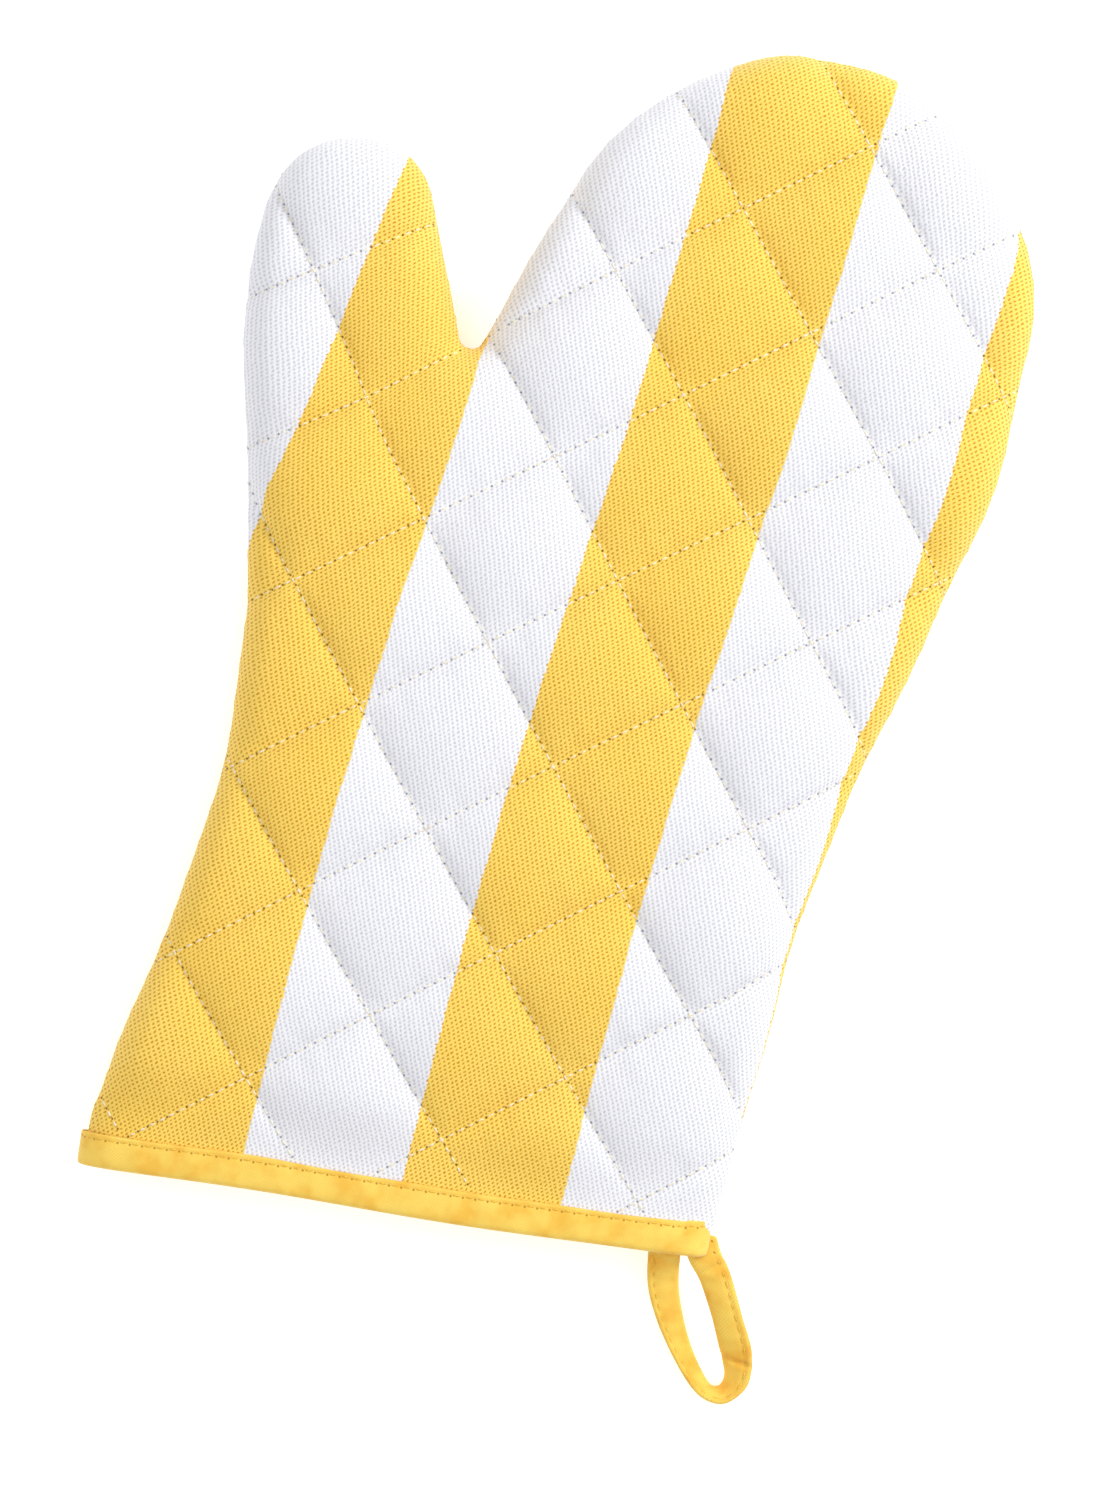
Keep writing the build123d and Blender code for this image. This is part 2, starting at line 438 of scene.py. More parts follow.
@dataclass
class PaddedForm:
    """The shape that the two quilted panels take: where any point of any layer lies."""

    outline: Outline
    lay: ClothLay
    edge_inset: float = 0.7          # the seam lies this far inside the silhouette
    palm_rise: float = 12.6          # height of the palm's plateau over the seam, puffs left out
    back_drop: float = 9.0
    shoulder: float = 15.0           # how far in from the seam the flank levels out
    cuff_flat: float = 0.62          # share of the height that is left at the cuff
    cuff_run: float = 75.0
    pressed: float = 0.36            # share of its thickness that the binding takes off a panel
    sag: float = 0.7                 # slow waves over the whole panel
    crease: float = 0.34             # height of the small creases beside the stitch lines
    crease_reach: float = 6.0
    puff: float = 3.9                # height of a quilted puff over its stitch lines
    puff_power: float = 0.62
    binding_edge: float = 7.8
    floor: float = -10.95            # the surface that the mitt lies on

    def __post_init__(self) -> None:
        """Keep the outline's points, which every distance is measured to."""
        self.rim = self.outline.edge(self.edge_inset)
        steps = np.linalg.norm(np.diff(self.rim, axis=0), axis=1)
        self.rim_step = float(steps.mean())

    def distances(self, plan: Array) -> tuple[Array, Array]:
        """How far each place lies inside the side seam.

        Args:
            plan: Places on the plan.

        Returns:
            The shortest distance, and a mean distance that has no ridge line in the middle.
        """
        nearest = np.empty(len(plan))
        mean = np.empty(len(plan))
        for start in range(0, len(plan), 2000):
            part = slice(start, start + 2000)
            gaps = ((plan[part, None, :] - self.rim[None, :, :]) ** 2).sum(axis=2)
            nearest[part] = np.sqrt(gaps.min(axis=1))
            pull = (np.maximum(gaps, 1.0) ** -1.5).sum(axis=1) * self.rim_step
            mean[part] = np.sqrt(2.0 / pull)
        blend = smooth(nearest, 3.0, 9.0)
        return nearest, nearest * (1.0 - blend) + mean * blend

    def rise(self, plan: Array, distance: Array, side: Side, depth: float) -> Array:
        """Height over the seam of a layer without its puffs.

        Args:
            plan: Places on the plan.
            distance: Their mean distances inside the side seam.
            side: Which panel.
            depth: How deep the layer lies under the cover's face.

        Returns:
            Heights away from the seam plane, never negative.
        """
        full = self.palm_rise if side is Side.PALM else self.back_drop
        grip = 1.0 - self.pressed * (1.0 - smooth(plan[:, 1], 8.0, 22.0))
        cuff = self.cuff_flat + (1.0 - self.cuff_flat) * smooth(plan[:, 1], 0.0, self.cuff_run)
        sag = self.sag * ripple(plan[:, 1] + 0.4 * plan[:, 0], ((118.0, 0.6), (173.0, 2.1)))
        inside = np.maximum(distance - depth * grip, 0.0)
        flank = np.sqrt(1.0 - np.exp(-2.0 * inside / self.shoulder))
        return np.maximum(full * cuff + sag - depth * grip, 0.5) * flank

    def cell(self, lattice: Array) -> Array:
        """How far up its puff each place is, from 0 on a stitch line to 1 in mid-diamond.

        Args:
            lattice: Distances across the two sets of quilting lines.

        Returns:
            Values from 0 to 1.
        """
        share = (lattice / self.lay.pitch) % 1.0
        bulge = 4.0 * share * (1.0 - share)
        return (bulge[:, 0] * bulge[:, 1]) ** self.puff_power

    def puffs(self, plan: Array, cloth: Array, nearest: Array) -> Array:
        """The quilting's relief over the panel's smooth form.

        Args:
            plan: Places on the plan.
            cloth: The same places on the uncut cloth.
            nearest: Their shortest distances inside the side seam.

        Returns:
            Heights of the cover's face over its stitch lines.
        """
        lattice = self.lay.lattice(cloth)
        cell = np.floor(lattice / self.lay.pitch)
        mood = 0.5 + 0.5 * np.sin(cell[:, 0] * 2.4 + cell[:, 1] * 4.1 + 0.7)
        height = self.puff * (0.86 + 0.24 * mood) * self.cell(lattice)
        for across, along in ((0, 1), (1, 0)):
            share = (lattice[:, across] / self.lay.pitch + 0.5) % 1.0 - 0.5
            near = np.abs(share) * self.lay.pitch
            run = lattice[:, along] + 3.0 * cell[:, across]
            folded = ripple(run, ((6.6, 0.4), (10.3, 1.9), (17.0, 0.2)))
            beside = np.exp(-near / self.crease_reach) * (1.0 - np.exp(-near / 1.2))
            height += self.crease * folded * beside
        at_seam = np.sqrt(np.clip(nearest / 7.0, 0.0, 1.0))
        at_cuff = smooth(plan[:, 1], self.binding_edge - 0.5, self.binding_edge + 21.0)
        return height * at_seam * at_cuff

    def surface(self, plan: Array, side: Side, depth: float = 0.0,
                puffed: float = 1.0) -> tuple[Array, Array]:
        """Points of a layer and the way that they face.

        Args:
            plan: Places on the plan, inside the side seam.
            side: Which panel.
            depth: How deep the layer lies under the cover's face.
            puffed: How much of the quilting's relief the layer has.

        Returns:
            Points and unit normals in the drawing frame.
        """
        nearest, mean = self.distances(plan)
        base = self.rise(plan, mean, side, depth)
        normal = self._normals(plan, side, depth)
        cloth = self.lay.cloth(plan)
        relief = puffed * self.puffs(plan, cloth, np.maximum(nearest - depth, 0.0))
        flat = np.concatenate([plan, (side.value * base)[:, None]], axis=1)
        points = flat + normal * relief[:, None]
        lowest = self.floor + depth
        under = points[:, 2] < lowest
        points[under, 2] = lowest - 0.06 * (1.0 - np.exp((points[under, 2] - lowest) / 1.2))
        return points, normal

    def _normals(self, plan: Array, side: Side, depth: float) -> Array:
        """Unit normals of a layer's smooth form, by small steps along X and Y.

        Args:
            plan: Places on the plan.
            side: Which panel.
            depth: How deep the layer lies under the cover's face.

        Returns:
            The unit normals.
        """
        step = 0.25
        slopes = []
        for shift in (np.array([step, 0.0]), np.array([0.0, step])):
            heights = []
            for sign in (1.0, -1.0):
                moved = plan + sign * shift
                _, mean = self.distances(moved)
                heights.append(self.rise(moved, mean, side, depth))
            slopes.append((heights[0] - heights[1]) / (2.0 * step))
        normal = np.stack([-slopes[0], -slopes[1], np.ones(len(plan))], axis=1)
        normal[:, 2] *= side.value
        return unit(normal)


# ---------------------------------------------------------------------------------------------
# Meshes
# ---------------------------------------------------------------------------------------------


@dataclass
class Stock:
    """What every sub-assembly needs: where it is drawn, and its shape and cloth."""

    drawing: Drawing
    outline: Outline
    lay: ClothLay
    form: PaddedForm


def make_piece(name: str, points: Array, faces: Sequence[Sequence[int]]) -> bpy.types.Object:
    """A new mesh object with its place in its mesh.

    Args:
        name: The piece's name.
        points: Its corners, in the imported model's metres.
        faces: Its faces as runs of corner numbers.

    Returns:
        The object, at the origin, shaded smooth.
    """
    mesh = bpy.data.meshes.new(name)
    mesh.from_pydata([tuple(p) for p in points], [], [tuple(f) for f in faces])
    mesh.validate()
    mesh.shade_smooth()
    piece = bpy.data.objects.new(name, mesh)
    bpy.context.scene.collection.objects.link(piece)
    return piece


def add_map(piece: bpy.types.Object, name: str, places: Array) -> None:
    """Give a piece a map of one place to each corner point.

    Args:
        piece: The piece.
        name: The map's name.
        places: Two distances in millimetres for each of the mesh's vertices.
    """
    mesh = piece.data
    layer = mesh.uv_layers.new(name=name)
    corners = np.empty(len(mesh.loops), dtype=np.int32)
    mesh.loops.foreach_get("vertex_index", corners)
    layer.data.foreach_set("uv", (places[corners] * MAP_SCALE).astype(np.float32).ravel())


def dress(piece: bpy.types.Object, *materials: bpy.types.Material) -> None:
    """Give a piece its materials, in slot order.

    Args:
        piece: The piece.
        materials: One for each slot.
    """
    piece.data.materials.clear()
    for material in materials:
        piece.data.materials.append(material)


def tube_faces(rows: int, columns: int, rows_closed: bool, columns_closed: bool) -> list[tuple[int, ...]]:
    """Faces of a grid of points, row by row.

    Args:
        rows: How many rows of points.
        columns: How many points in a row.
        rows_closed: Whether the last row joins the first.
        columns_closed: Whether each row is a closed loop.

    Returns:
        The faces, each with four corners.
    """
    faces = []
    for i in range(rows if rows_closed else rows - 1):
        for j in range(columns if columns_closed else columns - 1):
            a, b = i * columns + j, i * columns + (j + 1) % columns
            c = ((i + 1) % rows) * columns
            faces.append((a, b, c + (j + 1) % columns, c + j))
    return faces


def face_outwards(piece: bpy.types.Object) -> None:
    """Turn a closed piece's faces outwards.

    Args:
        piece: The piece.
    """
    shell = bmesh.new()
    shell.from_mesh(piece.data)
    bmesh.ops.recalc_face_normals(shell, faces=shell.faces)
    shell.to_mesh(piece.data)
    shell.free()


@dataclass
class PanelPattern:
    """The points of one panel layer on the plan, and the triangles between them."""

    stock: Stock
    spacing: float                     # between lattice points, a whole share of the quilt's pitch
    inset: float                       # how far the layer's edge lies inside the seam
    cuff: float = 0.5                  # where the layer ends at the cuff
    rings: tuple[float, ...] = (0.0, 0.15, 0.5, 1.1, 2.0, 3.1)

    def __post_init__(self) -> None:
        """Lay the points out and join them up."""
        form, lay = self.stock.form, self.stock.lay
        rings = [self._ring(form.edge_inset + self.inset + ring) for ring in self.rings]
        outer = rings[0]
        right = [ring[-1] for ring in rings]
        left = [ring[0] for ring in rings][::-1]
        between = np.linspace(right[-1], left[0], int(np.ptp(outer[:, 0]) / 1.5) + 2)[1:-1]
        cuff_line = np.vstack([*right[1:], between, *left[:-1]])
        keep = self.rings[-1] + self.inset + 0.75 * self.spacing
        inner = self._lattice_points()
        nearest, _ = form.distances(inner)
        inside = inside_line(inner, form.rim)
        inner = inner[inside & (nearest > keep) & (inner[:, 1] > self.cuff + 0.6 * self.spacing)]
        points = np.vstack([outer, cuff_line, *[ring[1:-1] for ring in rings[1:]], inner])
        self.rim_count = len(outer) + len(cuff_line)
        self.seam_count = len(outer)
        loop = [(i, (i + 1) % self.rim_count) for i in range(self.rim_count)]
        joined = delaunay_2d_cdt([Vector(p) for p in points], loop, [], 1, 1e-6)
        self.plan = np.array([(v.x, v.y) for v in joined[0]])
        self.faces = [tuple(face) for face in joined[2]]
        new_of_old = {old: new for new, olds in enumerate(joined[3]) for old in olds}
        self.rim = [new_of_old[i] for i in range(self.rim_count)]

    def _ring(self, inset: float) -> Array:
        """A line round the mitt at one inset, cut off at the cuff.

        Args:
            inset: How far it lies inside the silhouette.

        Returns:
            Its points, the first and last on the cuff's line.
        """
        line = resample(self.stock.outline.edge(inset), max(1.1, 0.9 * self.spacing))
        inside = line[:, 1] > self.cuff
        first, last = np.flatnonzero(inside)[[0, -1]]
        kept = line[first:last + 1]
        ends = []
        for out, into in ((line[first - 1], line[first]), (line[last + 1], line[last])):
            share = (self.cuff - out[1]) / (into[1] - out[1])
            ends.append(out + share * (into - out))
        least = 0.35 * self.spacing
        if kept[0, 1] - self.cuff <= least:
            kept = kept[1:]
        if kept[-1, 1] - self.cuff <= least:
            kept = kept[:-1]
        return np.vstack([ends[0], kept, ends[1]])

    def _lattice_points(self) -> Array:
        """Points in step with the quilting, so that each stitch line runs through a row of them.

        Returns:
            Places on the plan, past the mitt's edge too.
        """
        lay = self.stock.lay
        reach = int(320.0 / self.spacing)
        steps = np.arange(-reach, reach + 1) * self.spacing
        across, along = np.meshgrid(steps, steps, indexing="ij")
        lattice = np.stack([across.ravel(), along.ravel()], axis=1)
        cloth = lay.from_lattice(lattice)
        near = (np.abs(cloth[:, 0] - 20.0) < 125.0) & (cloth[:, 1] > -25.0) & (cloth[:, 1] < 325.0)
        return lay.plan(cloth[near])

    def shell(self, name: str, side: Side, depths: tuple[float, float],
              puffed: tuple[float, float]) -> bpy.types.Object:
        """The layer as a closed piece.

        Args:
            name: The piece's name.
            side: Which panel.
            depths: Its outer and inner faces' depths under the cover's face.
            puffed: How much of the quilting's relief each face has.

        Returns:
            The piece, with its cloth and quilt maps.
        """
        stock = self.stock
        thickness = depths[1] - depths[0]
        outer, normal = stock.form.surface(self.plan, side, depths[0], puffed[0])
        if puffed[0] == puffed[1]:
            inner = outer - normal * thickness
        else:
            inner, _ = stock.form.surface(self.plan, side, depths[1], puffed[1])
        seam = np.array(self.rim[:self.seam_count])
        inwards = -unit(normal[seam, :2])
        outer[seam, 2] = 0.0
        inner[seam, :2] = outer[seam, :2] + inwards * thickness
        inner[seam, 2] = 0.0
        count = len(self.plan)
        faces = [face if side is Side.PALM else face[::-1] for face in self.faces]
        inner_faces = [tuple(i + count for i in face[::-1]) for face in faces]
        walls = []
        for a, b in zip(self.rim, self.rim[1:] + self.rim[:1]):
            first, last = (a, b) if side is Side.PALM else (b, a)
            walls.append((first, last, last + count, first + count))
        points = stock.drawing.metres(np.vstack([outer, inner]))
        piece = make_piece(name, points, faces + inner_faces + walls)
        cloth = stock.lay.cloth(self.plan)
        add_map(piece, "cloth", np.vstack([stock.lay.grain(cloth)] * 2))
        add_map(piece, "quilt", np.vstack([stock.lay.lattice(cloth)] * 2))
        return piece


# ---------------------------------------------------------------------------------------------
# Finishes
# ---------------------------------------------------------------------------------------------


def linear(colour: str) -> tuple[float, float, float, float]:
    """A hex sRGB colour as linear RGBA.

    Args:
        colour: The colour, such as #FFFFFF.

    Returns:
        Its red, green, blue and opacity.
    """
    parts = [int(colour[i:i + 2], 16) / 255.0 for i in (1, 3, 5)]
    rgb = [c / 12.92 if c <= 0.04045 else ((c + 0.055) / 1.055) ** 2.4 for c in parts]
    return (*rgb, 1.0)


def add(tree: bpy.types.NodeTree, kind: str, *inputs: object,
        **settings: object) -> bpy.types.NodeSocket | None:
    """Add a node to a tree.

    Args:
        tree: The node tree.
        kind: The node's type.
        inputs: What each input holds, in order: a socket to link, a value, or None to leave it.
        settings: The node's own settings. One called output names the socket to return, and one
            called named is a dict of further inputs by name or number.

    Returns:
        The node's first output, or the one that was named, or None where it has no output.
    """
    node = tree.nodes.new(kind)
    wanted = settings.pop("output", 0)
    named = settings.pop("named", {})
    for setting, value in settings.items():
        setattr(node, setting, value)
    for key, value in [*enumerate(inputs), *named.items()]:
        if value is None:
            continue
        if isinstance(value, bpy.types.NodeSocket):
            tree.links.new(value, node.inputs[key])
        else:
            node.inputs[key].default_value = value
    return node.outputs[wanted] if len(node.outputs) else None


def new_material(name: str) -> bpy.types.Material:
    """An empty node material.

    Args:
        name: The material's name.

    Returns:
        The material, with no nodes.
    """
    material = bpy.data.materials.new(name)
    material.use_nodes = True
    material.node_tree.nodes.clear()
    return material


@dataclass(frozen=True)
class ClothSurface:
    """The shader that every cloth ends in: rough, with the soft glow of loose fibres."""

    roughness: float = 0.88
    sheen: float = 0.22
    sheen_roughness: float = 0.45

    def close(self, tree: bpy.types.NodeTree, colour: bpy.types.NodeSocket,
              normal: bpy.types.NodeSocket) -> None:
        """End a material's tree.

        Args:
            tree: The material's tree.
            colour: The cloth's colour.
            normal: Its bumped normal.
        """
        shader = add(tree, "ShaderNodeBsdfPrincipled", named={
            "Base Color": colour, "Normal": normal, "Roughness": self.roughness, "Metallic": 0.0,
            "IOR": 1.45, "Specular IOR Level": 0.25, "Sheen Weight": self.sheen,
            "Sheen Roughness": self.sheen_roughness,
        })
        add(tree, "ShaderNodeOutputMaterial", shader)


@dataclass(frozen=True)
class StripedCotton:
    """Heavy yarn-dyed cotton: ribbed weave in broad stripes, with needle holes in its quilting."""

    yellow: str = "#FCDC6E"
    # painted shade: the yellow weave's gaps are darkened towards this colour
    yellow_gap_shade: str = "#CC8A22"
    yellow_deep: str = "#FAD058"
    white: str = "#F0F0F3"
    # painted shade: the white weave's grooves between ribs and its gaps are greyed towards these colours
    white_rib_shade: str = "#D4D4DA"
    white_gap_shade: str = "#C3C3CB"
    # painted shade: the needle holes are darkened towards these colours
    hole_shade_in_yellow: str = "#5E4212"
    hole_shade_in_white: str = "#85858E"
    stripe: float = 39.6        # mm
    rib: float = 1.17           # mm between the ribs that the eye reads in the weave
    knot: float = 0.98          # mm between the gaps along a rib
    rib_lean: float = math.radians(24.0)
    stitch: float = 2.8         # mm
    pitch: float = 35.0         # mm
    hole: float = 0.40          # mm
    surface: ClothSurface = ClothSurface()

    def material(self) -> bpy.types.Material:
        """Make the material, which is laid by a piece's cloth and quilt maps.

        Returns:
            The finished material.
        """
        material = new_material("striped_cotton_canvas")
        tree = material.node_tree
        cloth = add(tree, "ShaderNodeUVMap", uv_map="cloth")
        place = add(tree, VECTOR, cloth, None, named={"Scale": 1.0 / MAP_SCALE}, operation="SCALE")
        woven = self._wander(tree, self._wander(tree, place, 0.09, 0.9), 0.62, 0.62)
        split = add(tree, "ShaderNodeSeparateXYZ", woven).node
        across, along = split.outputs[0], split.outputs[1]
        rib_place = self._turned(tree, across, along, self.rib_lean, self.rib)
        knot_place = self._turned(tree, along, across, -self.rib_lean, self.knot)
        knot_place = add(tree, MATH, rib_place, -0.5, knot_place, operation="MULTIPLY_ADD")
        rib_gap = self._trough(tree, rib_place)
        knot_gap = self._trough(tree, knot_place)
        knot_gap = add(tree, MATH, knot_gap, knot_gap, operation="MULTIPLY")
        spot = add(tree, MATH, rib_gap, knot_gap, operation="MULTIPLY")
        fluff = add(tree, NOISE, place, named={"Scale": 1.5, "Detail": 3.0, "Roughness": 0.7})
        uneven = add(tree, MATH, fluff, 0.5, operation="SUBTRACT")
        uneven = add(tree, MATH, uneven, 1.4, operation="MULTIPLY")

        yellow_part = self._stripes(tree, across, spot)
        # the yarns' dyed stripes, with painted shade in the weave's gaps
        dyed = self._dyes_and_gap_shade(tree, place, yellow_part, (rib_gap, spot, uneven))
        hole = self._holes(tree)
        # painted shade: the colour darkens in the needle holes, as shade falls into them
        white_hole_shade, yellow_hole_shade = linear(self.hole_shade_in_white), linear(self.hole_shade_in_yellow)
        shaded_holes = add(tree, MIX, yellow_part, named={6: white_hole_shade, 7: yellow_hole_shade}, **COLOURS)
        colour = add(tree, MIX, hole, named={6: dyed, 7: shaded_holes}, **COLOURS)

        low = add(tree, MATH, spot, 0.9, operation="MULTIPLY")
        low = add(tree, MATH, rib_gap, 0.22, low, operation="MULTIPLY_ADD")
        low = add(tree, MATH, hole, 1.6, low, operation="MULTIPLY_ADD")
        low = add(tree, MATH, low, uneven, operation="ADD")
        relief = add(tree, MATH, 1.0, low, operation="SUBTRACT")
        height = {"Strength": 0.5, "Distance": 0.22 * MM, "Height": relief}
        normal = add(tree, "ShaderNodeBump", named=height)
        self.surface.close(tree, colour, normal)
        return material

    def _stripes(self, tree: bpy.types.NodeTree, across: bpy.types.NodeSocket,
                 spot: bpy.types.NodeSocket) -> bpy.types.NodeSocket:
        """The broad stripes, with edges that step from yarn to yarn.

        Args:
            tree: The material's tree.
            across: Distance across the stripes.
            spot: The weave's gaps, which the edges follow.

        Returns:
            0 in a white stripe and 1 in a yellow one.
        """
        jitter = add(tree, MATH, spot, 0.3, operation="SUBTRACT")
        place = add(tree, MATH, jitter, 0.5, across, operation="MULTIPLY_ADD")
        place = add(tree, MATH, place, 2.0 * self.stripe, operation="DIVIDE")
        share = add(tree, MATH, place, operation="FRACT")
        left = add(tree, MATH, 0.5, share, operation="SUBTRACT")
        rising = add(tree, MATH, share, left, operation="MINIMUM")
        return add(tree, RANGE, rising, -0.0022, 0.0022, 0.0, 1.0)

    def _dyes_and_gap_shade(self, tree: bpy.types.NodeTree, place: bpy.types.NodeSocket,
              yellow_part: bpy.types.NodeSocket,
              weave: tuple[bpy.types.NodeSocket, ...]) -> bpy.types.NodeSocket:
        """The colours of the two stripes' yarns, with painted shade in the weave's gaps between them.

        Args:
            tree: The material's tree.
            place: The place on the cloth in millimetres.
            yellow_part: 1 in a yellow stripe.
            weave: The gaps between the ribs, the gaps along them, and how uneven the yarn is.

        Returns:
            The cloth's colour, its needle holes left out.
        """
        rib_gap, spot, uneven = weave
        # painted shade: the colour darkens in the weave's gaps, as shade falls into them
        gap_shade_mask = add(tree, MATH, spot, uneven, operation="ADD")
        gap_shade_mask = add(tree, RANGE, gap_shade_mask, 0.18, 0.62, 0.0, 1.0)
        # painted shade: grey grooves between the white stripe's ribs
        between = add(tree, MATH, rib_gap, uneven, operation="ADD")
        between = add(tree, RANGE, between, 0.45, 1.05, 0.0, 0.34)
        patch = add(tree, NOISE, place, named={"Scale": 0.035, "Detail": 3.0})
        warm = add(tree, MIX, patch, named={6: linear(self.yellow), 7: linear(self.yellow_deep)}, **COLOURS)
        deep = add(tree, MATH, gap_shade_mask, 0.95, operation="MULTIPLY")
        yellow = add(tree, MIX, deep, named={6: warm, 7: linear(self.yellow_gap_shade)}, **COLOURS)
        whites = {6: linear(self.white), 7: linear(self.white_rib_shade)}
        ribbed = add(tree, MIX, between, named=whites, **COLOURS)
        deep = add(tree, MATH, gap_shade_mask, 0.70, operation="MULTIPLY")
        white = add(tree, MIX, deep, named={6: ribbed, 7: linear(self.white_gap_shade)}, **COLOURS)
        return add(tree, MIX, yellow_part, named={6: white, 7: yellow}, **COLOURS)

    @staticmethod
    def _wander(tree: bpy.types.NodeTree, place: bpy.types.NodeSocket, scale: float,
                reach: float) -> bpy.types.NodeSocket:
        """A place on the cloth moved a little, as hand-laid yarn wanders.

        Args:
            tree: The material's tree.
            place: The place in millimetres.
            scale: How quickly the drift changes, in repeats to a millimetre.
            reach: How far it goes, in millimetres.

        Returns:
            The moved place.
        """
        drift = add(tree, NOISE, place, named={"Scale": scale, "Detail": 2.0}, output="Color")
        shift = add(tree, VECTOR, drift, (0.5, 0.5, 0.5), operation="SUBTRACT")
        shift = add(tree, VECTOR, shift, None, named={"Scale": reach}, operation="SCALE")
        return add(tree, VECTOR, place, shift, operation="ADD")

    @staticmethod
    def _turned(tree: bpy.types.NodeTree, main: bpy.types.NodeSocket, other: bpy.types.NodeSocket,
                lean: float, length: float) -> bpy.types.NodeSocket:
        """A distance along a direction that leans off the grain, counted in repeats of one length.

        Args:
            tree: The material's tree.
            main: Distance along the grain that it leans from.
            other: Distance along the other grain.
            lean: The angle between them.
            length: Of one repeat, in millimetres.

        Returns:
            How many repeats there are up to each place.
        """
        first = add(tree, MATH, main, math.cos(lean) / length, operation="MULTIPLY")
        return add(tree, MATH, other, math.sin(lean) / length, first, operation="MULTIPLY_ADD")

    @staticmethod
    def _trough(tree: bpy.types.NodeTree, place: bpy.types.NodeSocket) -> bpy.types.NodeSocket:
        """Where a repeat is low.

        Args:
            tree: The material's tree.
            place: A count of repeats.

        Returns:
            From 0 on a crown to 1 in a gap.
        """
        turn = add(tree, MATH, place, 2.0 * math.pi, operation="MULTIPLY")
        swing = add(tree, MATH, turn, operation="COSINE")
        return add(tree, MATH, swing, 0.5, 0.5, operation="MULTIPLY_ADD")

    def _holes(self, tree: bpy.types.NodeTree) -> bpy.types.NodeSocket:
        """The needle's holes along the stitch lines, which the colour darkens with painted shade.

        Args:
            tree: The material's tree.

        Returns:
            From 0 on whole cloth to 1 in a hole.
        """
        quilt = add(tree, "ShaderNodeUVMap", uv_map="quilt")
        quilt = add(tree, VECTOR, quilt, None, named={"Scale": 1.0 / MAP_SCALE}, operation="SCALE")
        split = add(tree, "ShaderNodeSeparateXYZ", quilt).node
        found = []
        for across, along in ((0, 1), (1, 0)):
            off = add(tree, MATH, split.outputs[across], self.pitch / 2.0, operation="PINGPONG")
            run = add(tree, MATH, split.outputs[along], self.stitch / 2.0, operation="PINGPONG")
            away = add(tree, "ShaderNodeCombineXYZ", off, run)
            far = add(tree, VECTOR, away, operation="LENGTH", output="Value")
            found.append(add(tree, RANGE, far, 0.25 * self.hole, self.hole, 1.0, 0.0))
        return add(tree, MATH, *found, operation="MAXIMUM")


@dataclass(frozen=True)
class PlainCotton:
    """Plain-woven cotton of one colour: the binding tape and the lining."""

    name: str
    colour: str
    shade: str
    yarn: float                 # mm between yarns
    relief: float = 0.10        # mm
    stitch: float = 0.0         # mm between needle holes, or 0 for none
    stitch_line: float = 0.0    # mm from the tape's stitched edge
    # painted shade in the needle holes
    hole_shade_colour: str = "#B57F22"
    hole: float = 0.40
    surface: ClothSurface = ClothSurface()

    def material(self) -> bpy.types.Material:
        """Make the material, which is laid by a piece's cloth map.

        Returns:
            The finished material.
        """
        material = new_material(self.name)
        tree = material.node_tree
        cloth = add(tree, "ShaderNodeUVMap", uv_map="cloth")
        place = add(tree, VECTOR, cloth, None, named={"Scale": 1.0 / MAP_SCALE}, operation="SCALE")
        split = add(tree, "ShaderNodeSeparateXYZ", place).node
        weave = self._weave(tree, place, split)
        # painted shade: the colour darkens in the weave's gaps
        gap = add(tree, RANGE, weave, 0.1, 0.65, 0.55, 0.0)
        # painted shade: soft darker patches, as shade falls on puckers in the cloth
        patch = add(tree, NOISE, place, named={"Scale": 0.13, "Detail": 4.0})
        mottled_shade = add(tree, RANGE, patch, 0.38, 0.62, 0.0, 0.75)
        shade = add(tree, MATH, gap, mottled_shade, operation="MAXIMUM")
        colour = add(tree, MIX, shade, named={6: linear(self.colour), 7: linear(self.shade)}, **COLOURS)
        relief = weave
        if self.stitch:
            hole = self._holes(tree, split)
            # painted shade: the colour darkens in the needle holes along the stitch row
            colour = add(tree, MIX, hole, named={6: colour, 7: linear(self.hole_shade_colour)}, **COLOURS)
            relief = add(tree, MATH, hole, -2.5, weave, operation="MULTIPLY_ADD")
        height = {"Strength": 0.5, "Distance": self.relief * MM, "Height": relief}
        normal = add(tree, "ShaderNodeBump", named=height)
        self.surface.close(tree, colour, normal)
        return material

    def _weave(self, tree: bpy.types.NodeTree, place: bpy.types.NodeSocket,
               split: bpy.types.Node) -> bpy.types.NodeSocket:
        """The plain weave's crowns, roughened by loose fibres.

        Args:
            tree: The material's tree.
            place: The place on the cloth in millimetres.
            split: The node that splits it.

        Returns:
            About 1 on a crown and 0 in a gap.
        """
        waves = []
        for axis in (0, 1):
            turn = add(tree, MATH, split.outputs[axis], math.pi / self.yarn, operation="MULTIPLY")
            waves.append(add(tree, MATH, turn, operation="SINE"))
        weave = add(tree, MATH, *waves, operation="MULTIPLY")
        weave = add(tree, MATH, weave, 0.5, 0.5, operation="MULTIPLY_ADD")
        fluff = add(tree, NOISE, place, named={"Scale": 0.9 / self.yarn, "Detail": 3.0, "Roughness": 0.7})
        fluff = add(tree, MATH, fluff, 0.5, operation="SUBTRACT")
        return add(tree, MATH, fluff, 0.7, weave, operation="MULTIPLY_ADD")

    def _holes(self, tree: bpy.types.NodeTree, split: bpy.types.Node) -> bpy.types.NodeSocket:
        """The needle's holes along the tape's stitch row, which the colour darkens with painted shade.

        Args:
            tree: The material's tree.
            split: The node that splits the place on the cloth.

        Returns:
            From 0 on whole cloth to 1 in a hole.
        """
        off = add(tree, MATH, split.outputs[1], self.stitch_line, operation="SUBTRACT")
        run = add(tree, MATH, split.outputs[0], self.stitch / 2.0, operation="PINGPONG")
        away = add(tree, "ShaderNodeCombineXYZ", off, run)
        far = add(tree, VECTOR, away, operation="LENGTH", output="Value")
        return add(tree, RANGE, far, 0.3 * self.hole, self.hole, 1.0, 0.0)


